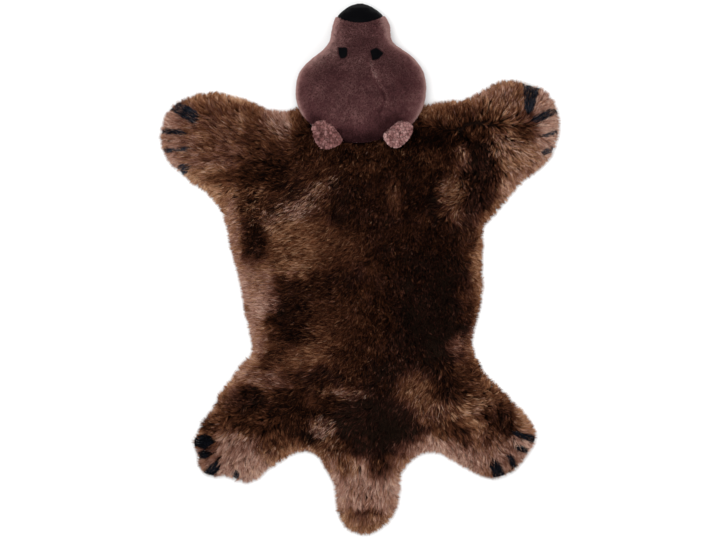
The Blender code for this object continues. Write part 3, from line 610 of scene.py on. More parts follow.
class Relief:
    """Top heights and owners of the pile's nodes, on a square grid in mm."""

    def __init__(self):
        self.low, high = np.array(cad_low)[:2] / MM - GRID_MARGIN, np.array(cad_high)[:2] / MM + GRID_MARGIN
        self.shape = tuple(np.ceil((high - self.low) / GRID_PITCH).astype(int) + 1)
        self.height = np.zeros(self.shape)
        self.owner = np.full(self.shape, -1)
        self.covered = np.zeros(self.shape, bool)
        for index, node in enumerate(PANELS):
            for i, j, z in self.cast(node):
                if z > self.height[i, j]:
                    self.height[i, j] = z
                    self.owner[i, j] = index
        self.claw_owner = np.full(self.shape, -1)
        for index, row in enumerate(CLAWS):
            for i, j, z in self.cast(row.node):
                self.claw_owner[i, j] = index
                self.owner[i, j] = PANELS.index(row.panel)
                self.height[i, j] = z
        self.claw_core = self.find_claw_core()
        self.close_gaps()
        for node in COVERS:
            for i, j, z in self.cast(node):
                self.covered[i, j] = True
        self.smooth()
        self.spread_under_covers()
        self.find_rim()

    def cast(self, node):
        """Every grid point under a node, with the height of its top there."""
        tree = tree_of(node)
        low, high = plan_box(node)
        first = np.maximum(np.floor((low - self.low) / GRID_PITCH).astype(int), 0)
        last = np.ceil((high - self.low) / GRID_PITCH).astype(int)
        for i in range(first[0], last[0] + 1):
            for j in range(first[1], last[1] + 1):
                x, y = self.low + (i * GRID_PITCH, j * GRID_PITCH)
                hit = tree.ray_cast(Vector((x, y, SKY)), DOWN)[0]
                if hit is not None:
                    yield i, j, hit.z

    def find_claw_core(self):
        """The cells of each claw but for its edge, or all the cells of a thin one."""
        claw = self.claw_owner >= 0
        core = claw & (gathered(claw.astype(int)) >= CLAW_CORE)
        for index in range(len(CLAWS)):
            own = self.claw_owner == index
            if (own & core).sum() < THIN_CLAW * own.sum():
                core |= own
        return np.where(core, self.claw_owner, -1)

    def close_gaps(self):
        """Fills the clearance between neighbouring nodes, which is narrower than a cell."""
        for _ in range(GAP_ROUNDS):
            empty = self.owner < 0
            filled = np.zeros(self.shape, bool)
            for step in ((1, 0), (0, 1), (1, 1), (1, -1)):
                sides = (step, (-step[0], -step[1]))
                one, other = (np.roll(self.owner, side, (0, 1)) for side in sides)
                between = empty & (one >= 0) & (other >= 0) & ~filled
                self.owner = np.where(between, one, self.owner)
                self.height = np.where(between, gathered(self.height, sides) / 2, self.height)
                filled |= between

    def smooth(self):
        """Rounds off the facets of the solids' tops."""
        inside = (self.owner >= 0).astype(float)
        for _ in range(FACET_ROUNDS):
            total, count = gathered(self.height * inside, BLOCK), gathered(inside, BLOCK)
            self.height = np.where(inside > 0, total / np.maximum(count, 1), 0)

    def spread_under_covers(self):
        """Carries the pile's height on under the edge of the head."""
        for _ in range(COVER_SPREAD):
            known = self.height > 0
            count = gathered(known.astype(int))
            fill = self.covered & ~known & (count > 0)
            self.height = np.where(fill, gathered(self.height) / np.maximum(count, 1), self.height)

    def find_rim(self):
        """Depth of each cell inside the rug's outline, its locks' notches evened out, and the way out."""
        share = ((self.owner >= 0) | self.covered).astype(float)
        for _ in range(RIM_EVENING):
            share = (share + gathered(share)) / 5
        self.inside = share > 0.5
        depth = np.zeros(self.shape)
        for side, sign in ((self.inside, 1), (~self.inside, -1)):
            border = np.argwhere((gathered(side.astype(int)) > 0) & ~side)
            tree = KDTree(len(border))
            for index, (i, j) in enumerate(border):
                tree.insert((i, j, 0), index)
            tree.balance()
            for i, j in np.argwhere(side):
                depth[i, j] = sign * (tree.find((i, j, 0))[2] - 0.5) * GRID_PITCH
        for _ in range(RIM_SMOOTHING):
            depth = (depth * 4 + gathered(depth)) / 8
        self.depth = depth
        self.outward = -np.stack(np.gradient(depth), 2)

    def cell(self, xy):
        """Grid indices of the cells that points xy lie in."""
        cell = np.round((xy - self.low) / GRID_PITCH).astype(int)
        return tuple(np.clip(cell, 0, np.array(self.shape) - 1).T)

    def read(self, grid, xy):
        """Values of a grid at points xy, blended between its cells."""
        p = np.clip((xy - self.low) / GRID_PITCH, 0, np.array(self.shape) - 1.001)
        i = np.floor(p).astype(int)
        return blended(grid, i, i + 1, p - i)

    def height_at(self, xy):
        """Height of the pile at points xy, 0 beyond its rim."""
        return self.read(self.height, xy)

    def rim_at(self, xy):
        """Distance inside the rim, negative beyond it, and the way out, at points xy."""
        return self.read(self.depth, xy), unit(self.read(self.outward, xy))


relief = Relief()

# -------------------- meshes

STRAND_MAP = (0.02, 0.50, 0.50, 0.98)     # where a strand's root, bend and tip lie across its map
STRAND_MAP_WIDTH = 0.0008


def new_object(name, data):
    """An object of the scene."""
    piece = bpy.data.objects.new(name, data)
    bpy.context.scene.collection.objects.link(piece)
    return piece


def write_mesh(name, points, faces, uv, material):
    """A mesh object in metres from points in mm, triangles, and a map of one place a corner."""
    mesh = bpy.data.meshes.new(name)
    mesh.vertices.add(len(points))
    mesh.vertices.foreach_set("co", (points * MM).astype(np.float32).ravel())
    mesh.loops.add(faces.size)
    mesh.loops.foreach_set("vertex_index", faces.astype(np.int32).ravel())
    mesh.polygons.add(len(faces))
    mesh.polygons.foreach_set("loop_start", np.arange(0, faces.size, 3, dtype=np.int32))
    layer = mesh.uv_layers.new(name="OFBake")
    layer.data.foreach_set("uv", uv[faces.ravel()].astype(np.float32).ravel())
    mesh.update(calc_edges=True)
    mesh.polygons.foreach_set("use_smooth", np.ones(len(faces), bool))
    mesh.materials.append(material)
    return new_object(name, mesh)


def strand_mesh(name, root, bend, tip, width, shade, material, seed):
    """Strands that widen from root to bend and taper to tip. shade is each one's height on the map."""
    count = len(root)
    axis = unit(tip - root)
    flat = unit(np.cross(axis, (0, 0, 1.0)))
    turn = np.radians(np.random.default_rng(seed).normal(0, STRAND_ROLL, count))[:, None]
    side = (flat * np.cos(turn) + np.cross(axis, flat) * np.sin(turn)) * width[:, None] * 0.5
    middle = root * 0.25 + bend * 0.5 + tip * 0.25    # of the curve that runs by way of the bend
    points = np.stack([root, middle - side, middle + side, tip], 1)
    across = np.broadcast_to(STRAND_MAP, (count, 4))
    uv = np.stack([across, shade[:, None] + STRAND_MAP_WIDTH * np.array([0, -1, 1, 0])], 2)
    faces = np.array([(0, 1, 2), (1, 3, 2)])[None] + (np.arange(count) * 4)[:, None, None]
    piece = write_mesh(name, points.reshape(-1, 3), faces.reshape(-1, 3), uv.reshape(-1, 2), material)
    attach(piece, "root")
    return piece


def welded(node):
    """A CAD node's mesh, its facets joined."""
    form = bmesh.new()
    form.from_mesh(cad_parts[node].data)
    bmesh.ops.remove_doubles(form, verts=form.verts, dist=WELD)
    return form


def object_of(name, form):
    """A finished bmesh as an object."""
    mesh = bpy.data.meshes.new(name)
    form.to_mesh(mesh)
    form.free()
    return new_object(name, mesh)


# -------------------- pile

def jittered(low, high, pitch, seed):
    """Points about pitch apart over a box, shuffled off their grid."""
    random = np.random.default_rng(seed)
    nx, ny = (int(np.ceil((h - l) / pitch)) for l, h in zip(low, high))
    x, y = np.meshgrid(np.arange(nx), np.arange(ny), indexing="ij")
    at = np.stack([x.ravel(), y.ravel()], 1) + random.uniform(0, 1, (nx * ny, 2))
    return at * pitch + low


def nearest_lock(xy, pitch, seed):
    """Centre of the lock that each point belongs to, and a number for the lock."""
    shift = np.random.default_rng(seed).uniform(*LOCK_SHIFT, (LOCK_CELLS, LOCK_CELLS, 2))
    cell = np.floor(xy / pitch).astype(int)
    best = np.full(len(xy), 1e9)
    centre = np.zeros_like(xy)
    number = np.zeros(len(xy), int)
    for step in BLOCK:
        c = cell + step
        w = c % LOCK_CELLS
        at = (c + shift[w[:, 0], w[:, 1]]) * pitch
        d = ((at - xy) ** 2).sum(1)
        closer = d < best
        best = np.where(closer, d, best)
        centre[closer] = at[closer]
        number = np.where(closer, w[:, 0] * LOCK_CELLS + w[:, 1], number)
    return centre, number


def lock_draws(number, columns, seed):
    """Normal random numbers that the strands of one lock share."""
    return np.random.default_rng(seed).normal(0, 1, (LOCK_CELLS ** 2, columns))[number]


def raised(root, tip, top, rise, bow=0.0):
    """Roots, bends and tips of strands laid out in plan: tips top high, bends at a share rise of that."""
    low = np.full(len(root), ROOT_HEIGHT)
    height = (np.maximum(relief.height_at(root), top) - low) * rise
    bend = root + (tip - root) * STRAND_BULGE + bow
    return np.column_stack([root, low]), np.column_stack([bend, low + height]), np.column_stack([tip, top])


def comb(root, locks, seed):
    """Pile strands rooted at points root in plan, the tone of each one's lock, and its share of the rim."""
    random = np.random.default_rng(seed)
    count = len(root)
    centre, fine = nearest_lock(root, locks.fine, seed)
    broad = nearest_lock(centre, locks.broad, seed + 3)[1]
    by_fine = lock_draws(fine, 4, seed + 1)
    by_broad = lock_draws(broad, 3, seed + 2)
    way, lean = lay_at(centre)
    distance, out = relief.rim_at(root)
    edge = eased(np.clip(1 - distance / RIM_BAND, 0, 1))

    turn = by_broad[:, 0] * (TURN_COMBED + TURN_UPRIGHT * (1 - lean))
    turn = np.radians(turn + by_fine[:, 0] * TURN_FINE + random.normal(0, TURN_STRAND, count))
    way = unit(turned(way, turn) * (1 - edge)[:, None] + turned(out, turn) * (RIM_PULL * edge)[:, None])

    combed = np.clip(lean + REACH_BROAD * by_broad[:, 1], 0, 1.1)
    reach = (REACH_UPRIGHT + (REACH_COMBED - REACH_UPRIGHT) * combed) * random.uniform(*REACH_VARIED, count)
    overhang = random.uniform(RIM_OVERHANG - RIM_UNEVEN, RIM_OVERHANG, count)
    guard = random.uniform(0, 1, count) < GUARD_SHARE
    overhang = np.where(guard, random.uniform(RIM_OVERHANG, GUARD_OVERHANG, count), overhang)
    facing = np.clip((way * out).sum(1), 0.05, 1)
    room = np.maximum((distance + (overhang + RIM_LOCKS * by_fine[:, 1])) / facing, 2)
    reach = np.where(edge > 0.02, np.minimum(np.maximum(reach, REACH_COMBED * edge), room), reach)
    pull = locks.pull * random.uniform(*PULL_VARIED, count) * (1 - RIM_LOOSE * edge)
    tip = root + way * reach[:, None] + (centre - root) * pull[:, None]

    top = relief.height_at(tip) + TOP_FINE * by_fine[:, 1] + TOP_BROAD * by_broad[:, 2]
    top = top + random.uniform(*TOP_STRAND, count)
    top = np.maximum(top, RIM_TIP_HEIGHT * random.uniform(*RIM_TIP_VARIED, count))
    sideways = np.stack([-way[:, 1], way[:, 0]], 1)
    bow = (WAVE * by_broad[:, 2] + 0.5 * WAVE * by_fine[:, 2]) * (1 - RIM_STRAIGHT * edge)
    rise = STRAND_RISE * (1 - RIM_FLAT * edge) + STRAND_RISE_LEAST
    return (*raised(root, tip, top, rise, sideways * bow[:, None]), by_fine[:, 3], edge)


def pile_roots(row, seed):
    """Where the strands of one panel root in plan, and their share of its width."""
    owned = PANELS.index(row.panel)
    root = jittered(*plan_box(row.panel), row.pitch, seed)
    fringe = jittered(*plan_box(row.panel), row.pitch * FRINGE_PITCH, seed + 5)
    fringe = fringe[relief.owner[relief.cell(fringe)] == owned]
    fringe = fringe[relief.rim_at(fringe)[0] < FRINGE_BAND]
    fine = np.concatenate([np.ones(len(root)), np.full(len(fringe), FRINGE_WIDTH)])
    root = np.concatenate([root, fringe])
    hidden = relief.covered[relief.cell(root)]
    for step in ((1, 0), (-1, 0), (0, -1)):
        hidden &= relief.covered[relief.cell(root + np.array(step) * HEAD_COVERS)]
    keep = (relief.owner[relief.cell(root)] == owned) & relief.inside[relief.cell(root)] & ~hidden
    keep &= relief.rim_at(root)[0] > ROOT_INSET
    return root[keep], fine[keep]


def pile(row, suffix, seed):
    """The strands of one panel, closer along the rug's rim, and clear of the claws."""
    root, fine = pile_roots(row, seed)
    random = np.random.default_rng(seed + 9)
    strands = comb(root, row.locks, seed)
    bend, tip = strands[1][:, :2], strands[2][:, :2]
    clear = relief.claw_core[relief.cell(tip)] < 0
    clear &= relief.claw_core[relief.cell(tip * 0.5 + bend * 0.5)] < 0
    clear |= random.uniform(0, 1, len(tip)) < CLAW_MIXED[relief.claw_owner[relief.cell(tip)]]
    start, bend, tip, by_fine, edge, fine = (values[clear] for values in (*strands, fine))

    middle = (start[:, :2] + tip[:, :2]) / 2
    count = len(middle)
    tone, pink, streak = tone_at(middle)
    tone = tone + sheen_and_shade_at(middle, PELT_SHEEN_AND_SHADE)
    # painted shade: where the tone is dark the pile stands up, and it is painted darker still
    dark = np.clip((DARK_TONE - tone) / DARK_BAND, 0, 1)
    streak = streak + DARK_STREAK * dark
    tone = tone - DARK_SHADE_SINK * dark + streak * (LOCK_STREAK * by_fine + random.normal(0, 1, count))
    tone = mottled(tone, middle, PELT_MOTTLE)
    # painted sheen: the pile is painted lighter towards the rim and at its tips there, where the hair lies
    # outwards
    rim_tip_sheen = np.exp(-np.maximum(relief.rim_at(tip[:, :2])[0], 0) / TIP_BAND)
    tone = tone + (RIM_SHEEN * edge + TIP_SHEEN * rim_tip_sheen) * (1 - tone)
    pink = mottled(pink + PINK_VARIED * random.normal(0, 1, count), middle, PINK_MOTTLE)
    width = row.width * fine * random.uniform(*WIDTH_VARIED, count)
    tone = tone + RIM_VARIED * edge * (RIM_STREAK * by_fine + random.normal(0, 1, count))
    piece = strand_mesh("pile_" + row.panel + suffix, start, bend, tip, width, pile_shade(tone, pink),
                        PILE[row.coat], seed)
    return piece


# -------------------- hides

def hide_material():
    """Suede below, and above it the foot of the wool, painted near black as the shade deep in the pile."""
    material, tree, shader = new_material("hide", 0.9, 0.1)
    place = tree.nodes.new("ShaderNodeNewGeometry").outputs["Position"]
    suede = mix_colors(tree, "MIX", add_noise(tree, 60, 4), linear((176, 150, 122)), linear((150, 122, 96)))
    # the foot of the wool: painted near black as the shade deep in the pile
    wool_foot_shade = mix_colors(tree, "MIX", add_noise(tree, 400, 3), linear((18, 10, 8)), linear((44, 26, 18)))
    above = tree.nodes.new("ShaderNodeMath")
    above.operation = "GREATER_THAN"
    above.inputs[1].default_value = HIDE_THICKNESS / 2 * MM
    tree.links.new(split_places(tree, place)["Z"], above.inputs[0])
    tree.links.new(mix_colors(tree, "MIX", above.outputs[0], suede, wool_foot_shade), shader.inputs["Base Color"])
    return material


def make_hide(panel):
    """The thin leather of one panel, from its solid's plan drawn in from the rim, and its area."""
    form = welded(panel)
    points = np.array([v.co[:] for v in form.verts]) / MM
    distance, out = relief.rim_at(points[:, :2])
    inward = HIDE_INSET * np.clip(1 - distance / HIDE_INSET_BAND, 0, 1) + np.maximum(-distance, 0)
    points[:, :2] -= out * inward[:, None]
    points[:, 2] = np.where(points[:, 2] < 1, 0, HIDE_THICKNESS)
    for vertex, point in zip(form.verts, points):
        vertex.co = Vector(point) * MM
    flat_area = sum(f.calc_area() for f in form.faces if f.normal.z < -0.9)
    piece = object_of("hide_" + panel, form)
    piece.data.materials.append(HIDE)
    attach(piece, "root")
    return piece, flat_area


HIDE = hide_material()
PILE = {coat: pile_material(coat) for coat in ("body_fur", "arm_fur", "leg_fur", "tail_fur")}

for row in PELTS:
    hide, flat_area = make_hide(row.panel)
    coats = [pile(row, suffix, 100 + 10 * k) for k, suffix in enumerate(row.suffixes)]
    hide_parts(row.panel)
    flat_size(row.panel)

# -------------------- claws

CLAW_PILE = pile_material("claw_fur", CLAW_COLORS, CLAW_COLORS, root_painted_shade=0.5, roughness=0.6)


def plan_axis(points):
    """Middle, long direction and half length of a node's plan."""
    middle = (points.min(0) + points.max(0)) / 2
    spread = points - points.mean(0)
    way = np.linalg.eigh(spread.T @ spread)[1][:, -1]
    along = (points - middle) @ way
    return middle, way, (along.max() - along.min()) / 2


def claw_pile(index, claw, seed):
    """One claw's black strands, combed out to its tip."""
    points = plan_points(claw.node)
    middle, way, half = plan_axis(points)
    if way @ relief.rim_at(middle[None])[1][0] < 0:
        way = -way
    sideways = np.array([-way[1], way[0]])
    root = jittered(points.min(0), points.max(0), CLAW_PITCH, seed)
    root = root[relief.claw_owner[relief.cell(root)] == index]
    random = np.random.default_rng(seed)
    count = len(root)
    along = (root - middle) @ way / half
    aside = (root - middle) @ sideways
    reach = CLAW_REACH * random.uniform(*CLAW_REACH_VARIED, count) * (1.15 - 0.85 * along)
    turn = np.radians(random.normal(0, CLAW_SPREAD, count))
    root = root + random.normal(0, CLAW_FRAY, count)[:, None] * sideways
    way = turned(way, turn)
    start = root - way * (reach * CLAW_BACK)[:, None]
    tip = root + way * (reach * (1 - CLAW_BACK))[:, None]
    drawn = way * np.clip(CLAW_INSET - relief.rim_at(tip)[0], 0, CLAW_DRAW)[:, None]
    start, tip = start - drawn, tip - drawn
    top = np.maximum(relief.height_at(tip), RIM_TIP_HEIGHT) + random.uniform(*CLAW_TOP_VARIED, count)
    tone = claw.tone + CLAW_VARIED * random.normal(0, 1, count)
    tone = mottled(tone, np.stack([aside, along * half / 4], 1), ((CLAW_STREAK, CLAW_STREAK_SIZE, seed),))
    width = CLAW_WIDTH * random.uniform(*CLAW_WIDTH_VARIED, count)
    piece = strand_mesh(claw.node.replace("claw", "claw_pile"), *raised(start, tip, top, CLAW_RISE),
                        width, pile_shade(tone), CLAW_PILE, seed)
    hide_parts(claw.node)


for index, row in enumerate(CLAWS):
    claw_pile(index, row, 300 + index)

# -------------------- stuffed forms

SIMULATION_FRAMES = 20


def vertex_values(piece, kind):
    """The co or the normal of each of a piece's points."""
    found = np.zeros(len(piece.data.vertices) * 3, np.float32)
    piece.data.vertices.foreach_get(kind, found)
    return found.reshape(-1, 3).astype(float)


def positions(piece):
    """A piece's points in mm."""
    return vertex_values(piece, "co") / MM


def normals(piece):
    """A piece's point normals."""
    return vertex_values(piece, "normal")


def move_points(piece, points):
    """Puts a piece's points at places in mm."""
    piece.data.vertices.foreach_set("co", (points * MM).astype(np.float32).ravel())
    piece.data.update()


def set_all(target, **values):
    """Sets attributes of a target."""
    for name, value in values.items():
        setattr(target, name, value)


def applied(piece):
    """Replaces a piece's mesh by what its modifiers make of it."""
    graph = bpy.context.evaluated_depsgraph_get()
    mesh = bpy.data.meshes.new_from_object(piece.evaluated_get(graph))
    piece.modifiers.clear()
    old = piece.data
    piece.data = mesh
    bpy.data.meshes.remove(old)
    return piece


def modified(piece, kind, **values):
    """Applies one modifier of a kind, with its values, to a piece."""
    set_all(piece.modifiers.new(kind, kind), **values)
    return applied(piece)


def combined(piece, operation, other):
    """Cuts or joins a piece with another, which is used up."""
    modified(piece, "BOOLEAN", operation=operation, solver="EXACT", object=other)
    bpy.data.objects.remove(other)


def remeshed(name, nodes, voxel, grow=0.0):
    """CAD nodes, each grown by grow mm so that they meet, as one even mesh of squares voxel mm across."""
    parts = [object_of(name, welded(node)) for node in nodes]
    for part in parts:
        move_points(part, positions(part) + normals(part) * grow)
    for part in parts[1:]:
        combined(parts[0], "UNION", part)
    return modified(parts[0], "REMESH", mode="VOXEL", voxel_size=voxel * MM, use_smooth_shade=True)


def fitted(piece, nodes, margins):
    """Stretches a piece in plan until it fills the box of some CAD nodes but for margins along x and y."""
    boxes = [plan_box(node) for node in nodes]
    low = np.min([box[0] for box in boxes], 0) + margins
    high = np.max([box[1] for box in boxes], 0) - margins
    points = positions(piece)
    first, last = points[:, :2].min(0), points[:, :2].max(0)
    points[:, :2] = low + (points[:, :2] - first) * (high - low) / (last - first)
    move_points(piece, points)


def smoothed(piece, rounds):
    """Relaxes a piece's mesh."""
    return modified(piece, "SMOOTH", factor=0.5, iterations=rounds)


def puffed(piece, inset, cap, pressure):
    """Blows a closed cloth up from inset mm inside its shape, moving no point further than cap mm."""
    start = positions(piece) - normals(piece) * inset
    move_points(piece, start)
    cloth = piece.modifiers.new("cloth", "CLOTH")
    set_all(cloth.settings, quality=4, mass=0.3, tension_stiffness=12, compression_stiffness=12,
            bending_stiffness=0.4, use_pressure=True, uniform_pressure_force=pressure)
    cloth.settings.effector_weights.gravity = 0
    cloth.collision_settings.use_collision = False
    set_all(cloth.point_cache, frame_start=1, frame_end=SIMULATION_FRAMES)
    for number in range(1, SIMULATION_FRAMES + 1):
        bpy.context.scene.frame_set(number)
    applied(piece)
    moved = positions(piece) - start
    length = np.linalg.norm(moved, axis=1)
    move_points(piece, start + moved * (np.minimum(length, cap) / np.maximum(length, 1e-6))[:, None])
    bpy.context.scene.frame_set(1)


def finished(piece, material, node):
    """Smooth shading, a material and a slot for a piece that rides with the rug in a node's place."""
    piece.data.polygons.foreach_set("use_smooth", np.ones(len(piece.data.polygons), bool))
    piece.data.materials.clear()
    piece.data.materials.append(material)
    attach(piece, "root")
    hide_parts(node)


def under(xy, nodes, margin):
    """Which points xy lie within margin of the plan of some nodes, taken as convex."""
    found = np.zeros(len(xy), bool)
    for node in nodes:
        points = plan_points(node)
        middle = points.mean(0)
        inside = np.ones(len(xy), bool)
        for angle in np.linspace(0, 2 * np.pi, 24, endpoint=False):
            way = np.array([np.cos(angle), np.sin(angle)])
            inside &= (xy - middle) @ way < ((points - middle) @ way).max() + margin
        found |= inside
    return found


def nap_roots(form, spec, random):
    """Places spread evenly over the top and sides of a form, and the way up from its surface there."""
    mesh = form.data
    mesh.calc_loop_triangles()
    corners = np.zeros(len(mesh.loop_triangles) * 3, np.int32)
    mesh.loop_triangles.foreach_get("vertices", corners)
    corners = corners.reshape(-1, 3)
    points, facing = positions(form), normals(form)
    a, b, c = (points[corners[:, k]] for k in range(3))
    area = np.linalg.norm(np.cross(b - a, c - a), axis=1)
    area *= (a[:, 2] > NAP_LOWEST) & (facing[corners[:, 0], 2] > NAP_FACING)
    chosen = corners[np.searchsorted(np.cumsum(area) / area.sum(), random.uniform(0, 1, spec.count))]
    u, v = random.uniform(0, 1, (2, spec.count))
    over = u + v > 1
    u, v = np.where(over, 1 - u, u)[:, None], np.where(over, 1 - v, v)[:, None]
    root, up = (sum(values[chosen[:, k]] * share for k, share in enumerate((1 - u - v, u, v)))
                for values in (points, facing))
    return root, unit(up)


def nap(name, form, spec, tones, material, seed, bare=None):
    """Short pile all over a form, but where bare says. tones gives each root's tone."""
    random = np.random.default_rng(seed)
    root, up = nap_roots(form, spec, random)
    if bare is not None:
        clear = ~bare(root[:, :2])
        root, up = root[clear], up[clear]
    count = len(root)
    centre, lock = nearest_lock(root[:, :2], spec.lock, seed)
    by_lock = lock_draws(lock, 4, seed + 1)
    level = np.zeros(count)
    way = np.column_stack([by_lock[:, :2] * spec.spread, level]) + np.array(spec.lean)
    way = way + random.normal(0, NAP_STRAY, (count, 3))
    way -= up * (way * up).sum(1)[:, None]
    length = spec.length * random.uniform(*NAP_LENGTH_VARIED, count)[:, None]
    inward = np.column_stack([centre - root[:, :2], level])
    off = np.linalg.norm(inward, axis=1) / spec.lock
    inward -= up * (inward * up).sum(1)[:, None]
    tip = root + up * length + way * length + inward * spec.gather
    bend = root + up * length * NAP_BEND + way * length * NAP_ASIDE + inward * spec.gather * NAP_ASIDE
    tip[:, 2] = np.maximum(tip[:, 2], NAP_FLOOR)
    bend[:, 2] = np.maximum(bend[:, 2], NAP_FLOOR)
    tone = tones(root, by_lock, off) + spec.mottle * random.normal(0, 1, count)
    width = spec.width * random.uniform(*NAP_WIDTH_VARIED, count)
    piece = strand_mesh(name, root - up * NAP_ROOT, bend, tip, width, pile_shade(tone), material, seed)


def backing_material(name, dark, light):
    """Woven cloth under a nap."""
    return mottled_material(name, 0.95, 0.1, 300, 3, linear(dark), linear(light))


def leather_material(name):
    """Black leather with a fine grain."""
    material, tree, shader = new_material(name, 0.45, 0.015)
    cells = tree.nodes.new("ShaderNodeTexVoronoi")
    cells.inputs["Scale"].default_value = 900
    cells.feature = "F1"
    tree.links.new(tree.nodes.new("ShaderNodeTexCoord").outputs["Object"], cells.inputs["Vector"])
    color = mix_colors(tree, "MIX", cells.outputs["Distance"], linear((7, 7, 9)), linear((3, 3, 4)))
    tree.links.new(color, shader.inputs["Base Color"])
    bump = tree.nodes.new("ShaderNodeBump")
    bump.inputs["Strength"].default_value = 0.35
    bump.inputs["Distance"].default_value = 0.0004
    tree.links.new(cells.outputs["Distance"], bump.inputs["Height"])
    tree.links.new(bump.outputs["Normal"], shader.inputs["Normal"])
    return material


# -------------------- head, ears, eyes and nose

PLUSH = pile_material("head_plush", PLUSH_COLORS, PLUSH_COLORS, root_painted_shade=0.70, roughness=0.75)
CURL = pile_material("ear_curl", CURL_COLORS, CURL_COLORS, root_painted_shade=0.45, roughness=0.8)
LEATHER = leather_material("black_leather")
CREASE = [(20, 432), (28, 405), (34, 395), (40, 381), (54, 364), (57, 350), (51, 333), (46, 318)]
CREASE_HEIGHT = 2.4
CREASE_WIDTH = 2.6
CREASE_LOWEST = 30        # the crease ends where the sides are lower than this
TROUGH_DEPTH = 0.8        # a trough lies beside it: a share of its height, at this distance, so wide
TROUGH_PLACE = 8
TROUGH_WIDTH = 6
FACE_MARGINS = (3.0, 2.0)
EAR_MARGINS = (3.2, 2.4)
NOSE_CENTRE = (-1, 598)   # the nose's lower edge is an arc about this point
NOSE_RADIUS = 89
NOSE_LIFT = 0.9           # how far the leather stands off the plush, rising over this far from its edge
NOSE_LIFT_BAND = 3.0
NOSE_OVERLAP = 0.5        # how far it reaches over the plush, and how far the nap stays away
NOSE_BARE = 0.8
EYE_LIFT = 2.2            # the eyes lie on the plush's nap
EYE_MARGIN = 1.3
HEAD_MOTTLE = ((0.07, 28, 401), (0.06, 11, 402))


def rounded(line, rounds):
    """A line with its corners cut, over and over."""
    line = np.array(line, float)
    for _ in range(rounds):
        near, far = line[:-1] * 0.75 + line[1:] * 0.25, line[:-1] * 0.25 + line[1:] * 0.75
        line = np.concatenate([line[:1], np.stack([near, far], 1).reshape(-1, 2), line[-1:]])
    return line


def from_crease(xy):
    """Distance of points xy from the crease, and which of them lie to its right."""
    line = rounded(CREASE, 2)
    best = np.full(len(xy), 1e9)
    right = np.zeros(len(xy), bool)
    for start, end in zip(line, line[1:]):
        way = end - start
        t = np.clip((xy - start) @ way / (way @ way), 0, 1)
        off = xy - start - t[:, None] * way
        d = np.linalg.norm(off, axis=1)
        right = np.where(d < best, way[0] * off[:, 1] - way[1] * off[:, 0] < 0, right)
        best = np.minimum(best, d)
    return best, right


def round_cutter(radius):
    """A tall cylinder about the centre of the nose's edge."""
    form = bmesh.new()
    place = Matrix.Translation(Vector((*NOSE_CENTRE, 0)) * MM)
    bmesh.ops.create_cone(form, cap_ends=True, segments=256, radius1=radius * MM, radius2=radius * MM,
                          depth=0.4, matrix=place)
    return object_of("cutter", form)


def make_face_form():
    """The stuffed head and nose as one form, with the crease across its crown."""
    form = remeshed("head_cover", COVERS, voxel=3.2, grow=0.3)
    puffed(form, inset=1.5, cap=5.0, pressure=4.0)
    fitted(smoothed(form, 3), COVERS, FACE_MARGINS)
    points = positions(form)
    away, right = from_crease(points[:, :2])
    ridge = CREASE_HEIGHT * np.exp(-(away / CREASE_WIDTH) ** 2)
    trough = -TROUGH_DEPTH * CREASE_HEIGHT * np.exp(-((away - TROUGH_PLACE) / TROUGH_WIDTH) ** 2) * right
    points[:, 2] += np.where(points[:, 2] > CREASE_LOWEST, ridge + trough, 0)
    points[:, 2] = np.maximum(points[:, 2], FORM_FLOOR)
    move_points(form, points)
    return form


def head_tones(root, by_lock, off):
    """Painted light and shade on the plush: sheen lighter on the lower sides, along the rim and on the
    muzzle, painted shadow at the back edge next to the fur, patches of painted sheen and shade, and a
    painted highlight along the crease with painted shade in the trough beside it. Places are in mm.
    """
    xy, y, z = root[:, :2], root[:, 1], root[:, 2]
    away, right = from_crease(xy)
    # painted shade in the trough beside the crease, and a painted highlight along its ridge
    trough_shade = np.exp(-((away - 5) / 3.6) ** 2) * right
    crease_highlight = np.exp(-(away / 1.9) ** 2) * np.maximum(ramp(y, 300, 380), 0.3)
    # painted sheen: lighter on the steep lower sides, on the muzzle and along the rim
    lower = ramp(z, 60, 10)
    muzzle = ramp(y, 420, 490)
    rim = np.exp(-((z - 30) / 14) ** 2) * ramp(y, 290, 330)
    # painted shadow along the back edge, next to the fur
    back = ramp(y, 300, 264)
    return (0.60 + 0.18 * lower + 0.05 * muzzle + 0.42 * rim - 0.58 * back
            + mottled(0, xy, HEAD_MOTTLE) + sheen_and_shade_at(xy, HEAD_SHEEN_AND_SHADE)
            + 0.17 * crease_highlight - 0.14 * trough_shade + 0.03 * by_lock[:, 2])


def head_bare(xy):
    """Under the eyes and the nose."""
    from_nose = np.linalg.norm(xy - NOSE_CENTRE, axis=1)
    return under(xy, ["eye_left", "eye_right"], EYE_MARGIN) | (from_nose < NOSE_RADIUS + NOSE_BARE)


def make_head(form):
    """The plush cover of the head and its nap."""
    combined(form, "DIFFERENCE", round_cutter(NOSE_RADIUS))
    finished(form, backing_material("head_backing", (52, 30, 31), (72, 45, 45)), "head")
    for name, seed in (("head_nap_a", 41), ("head_nap_b", 51)):
        nap(name, form, HEAD_NAP, head_tones, PLUSH, seed, head_bare)


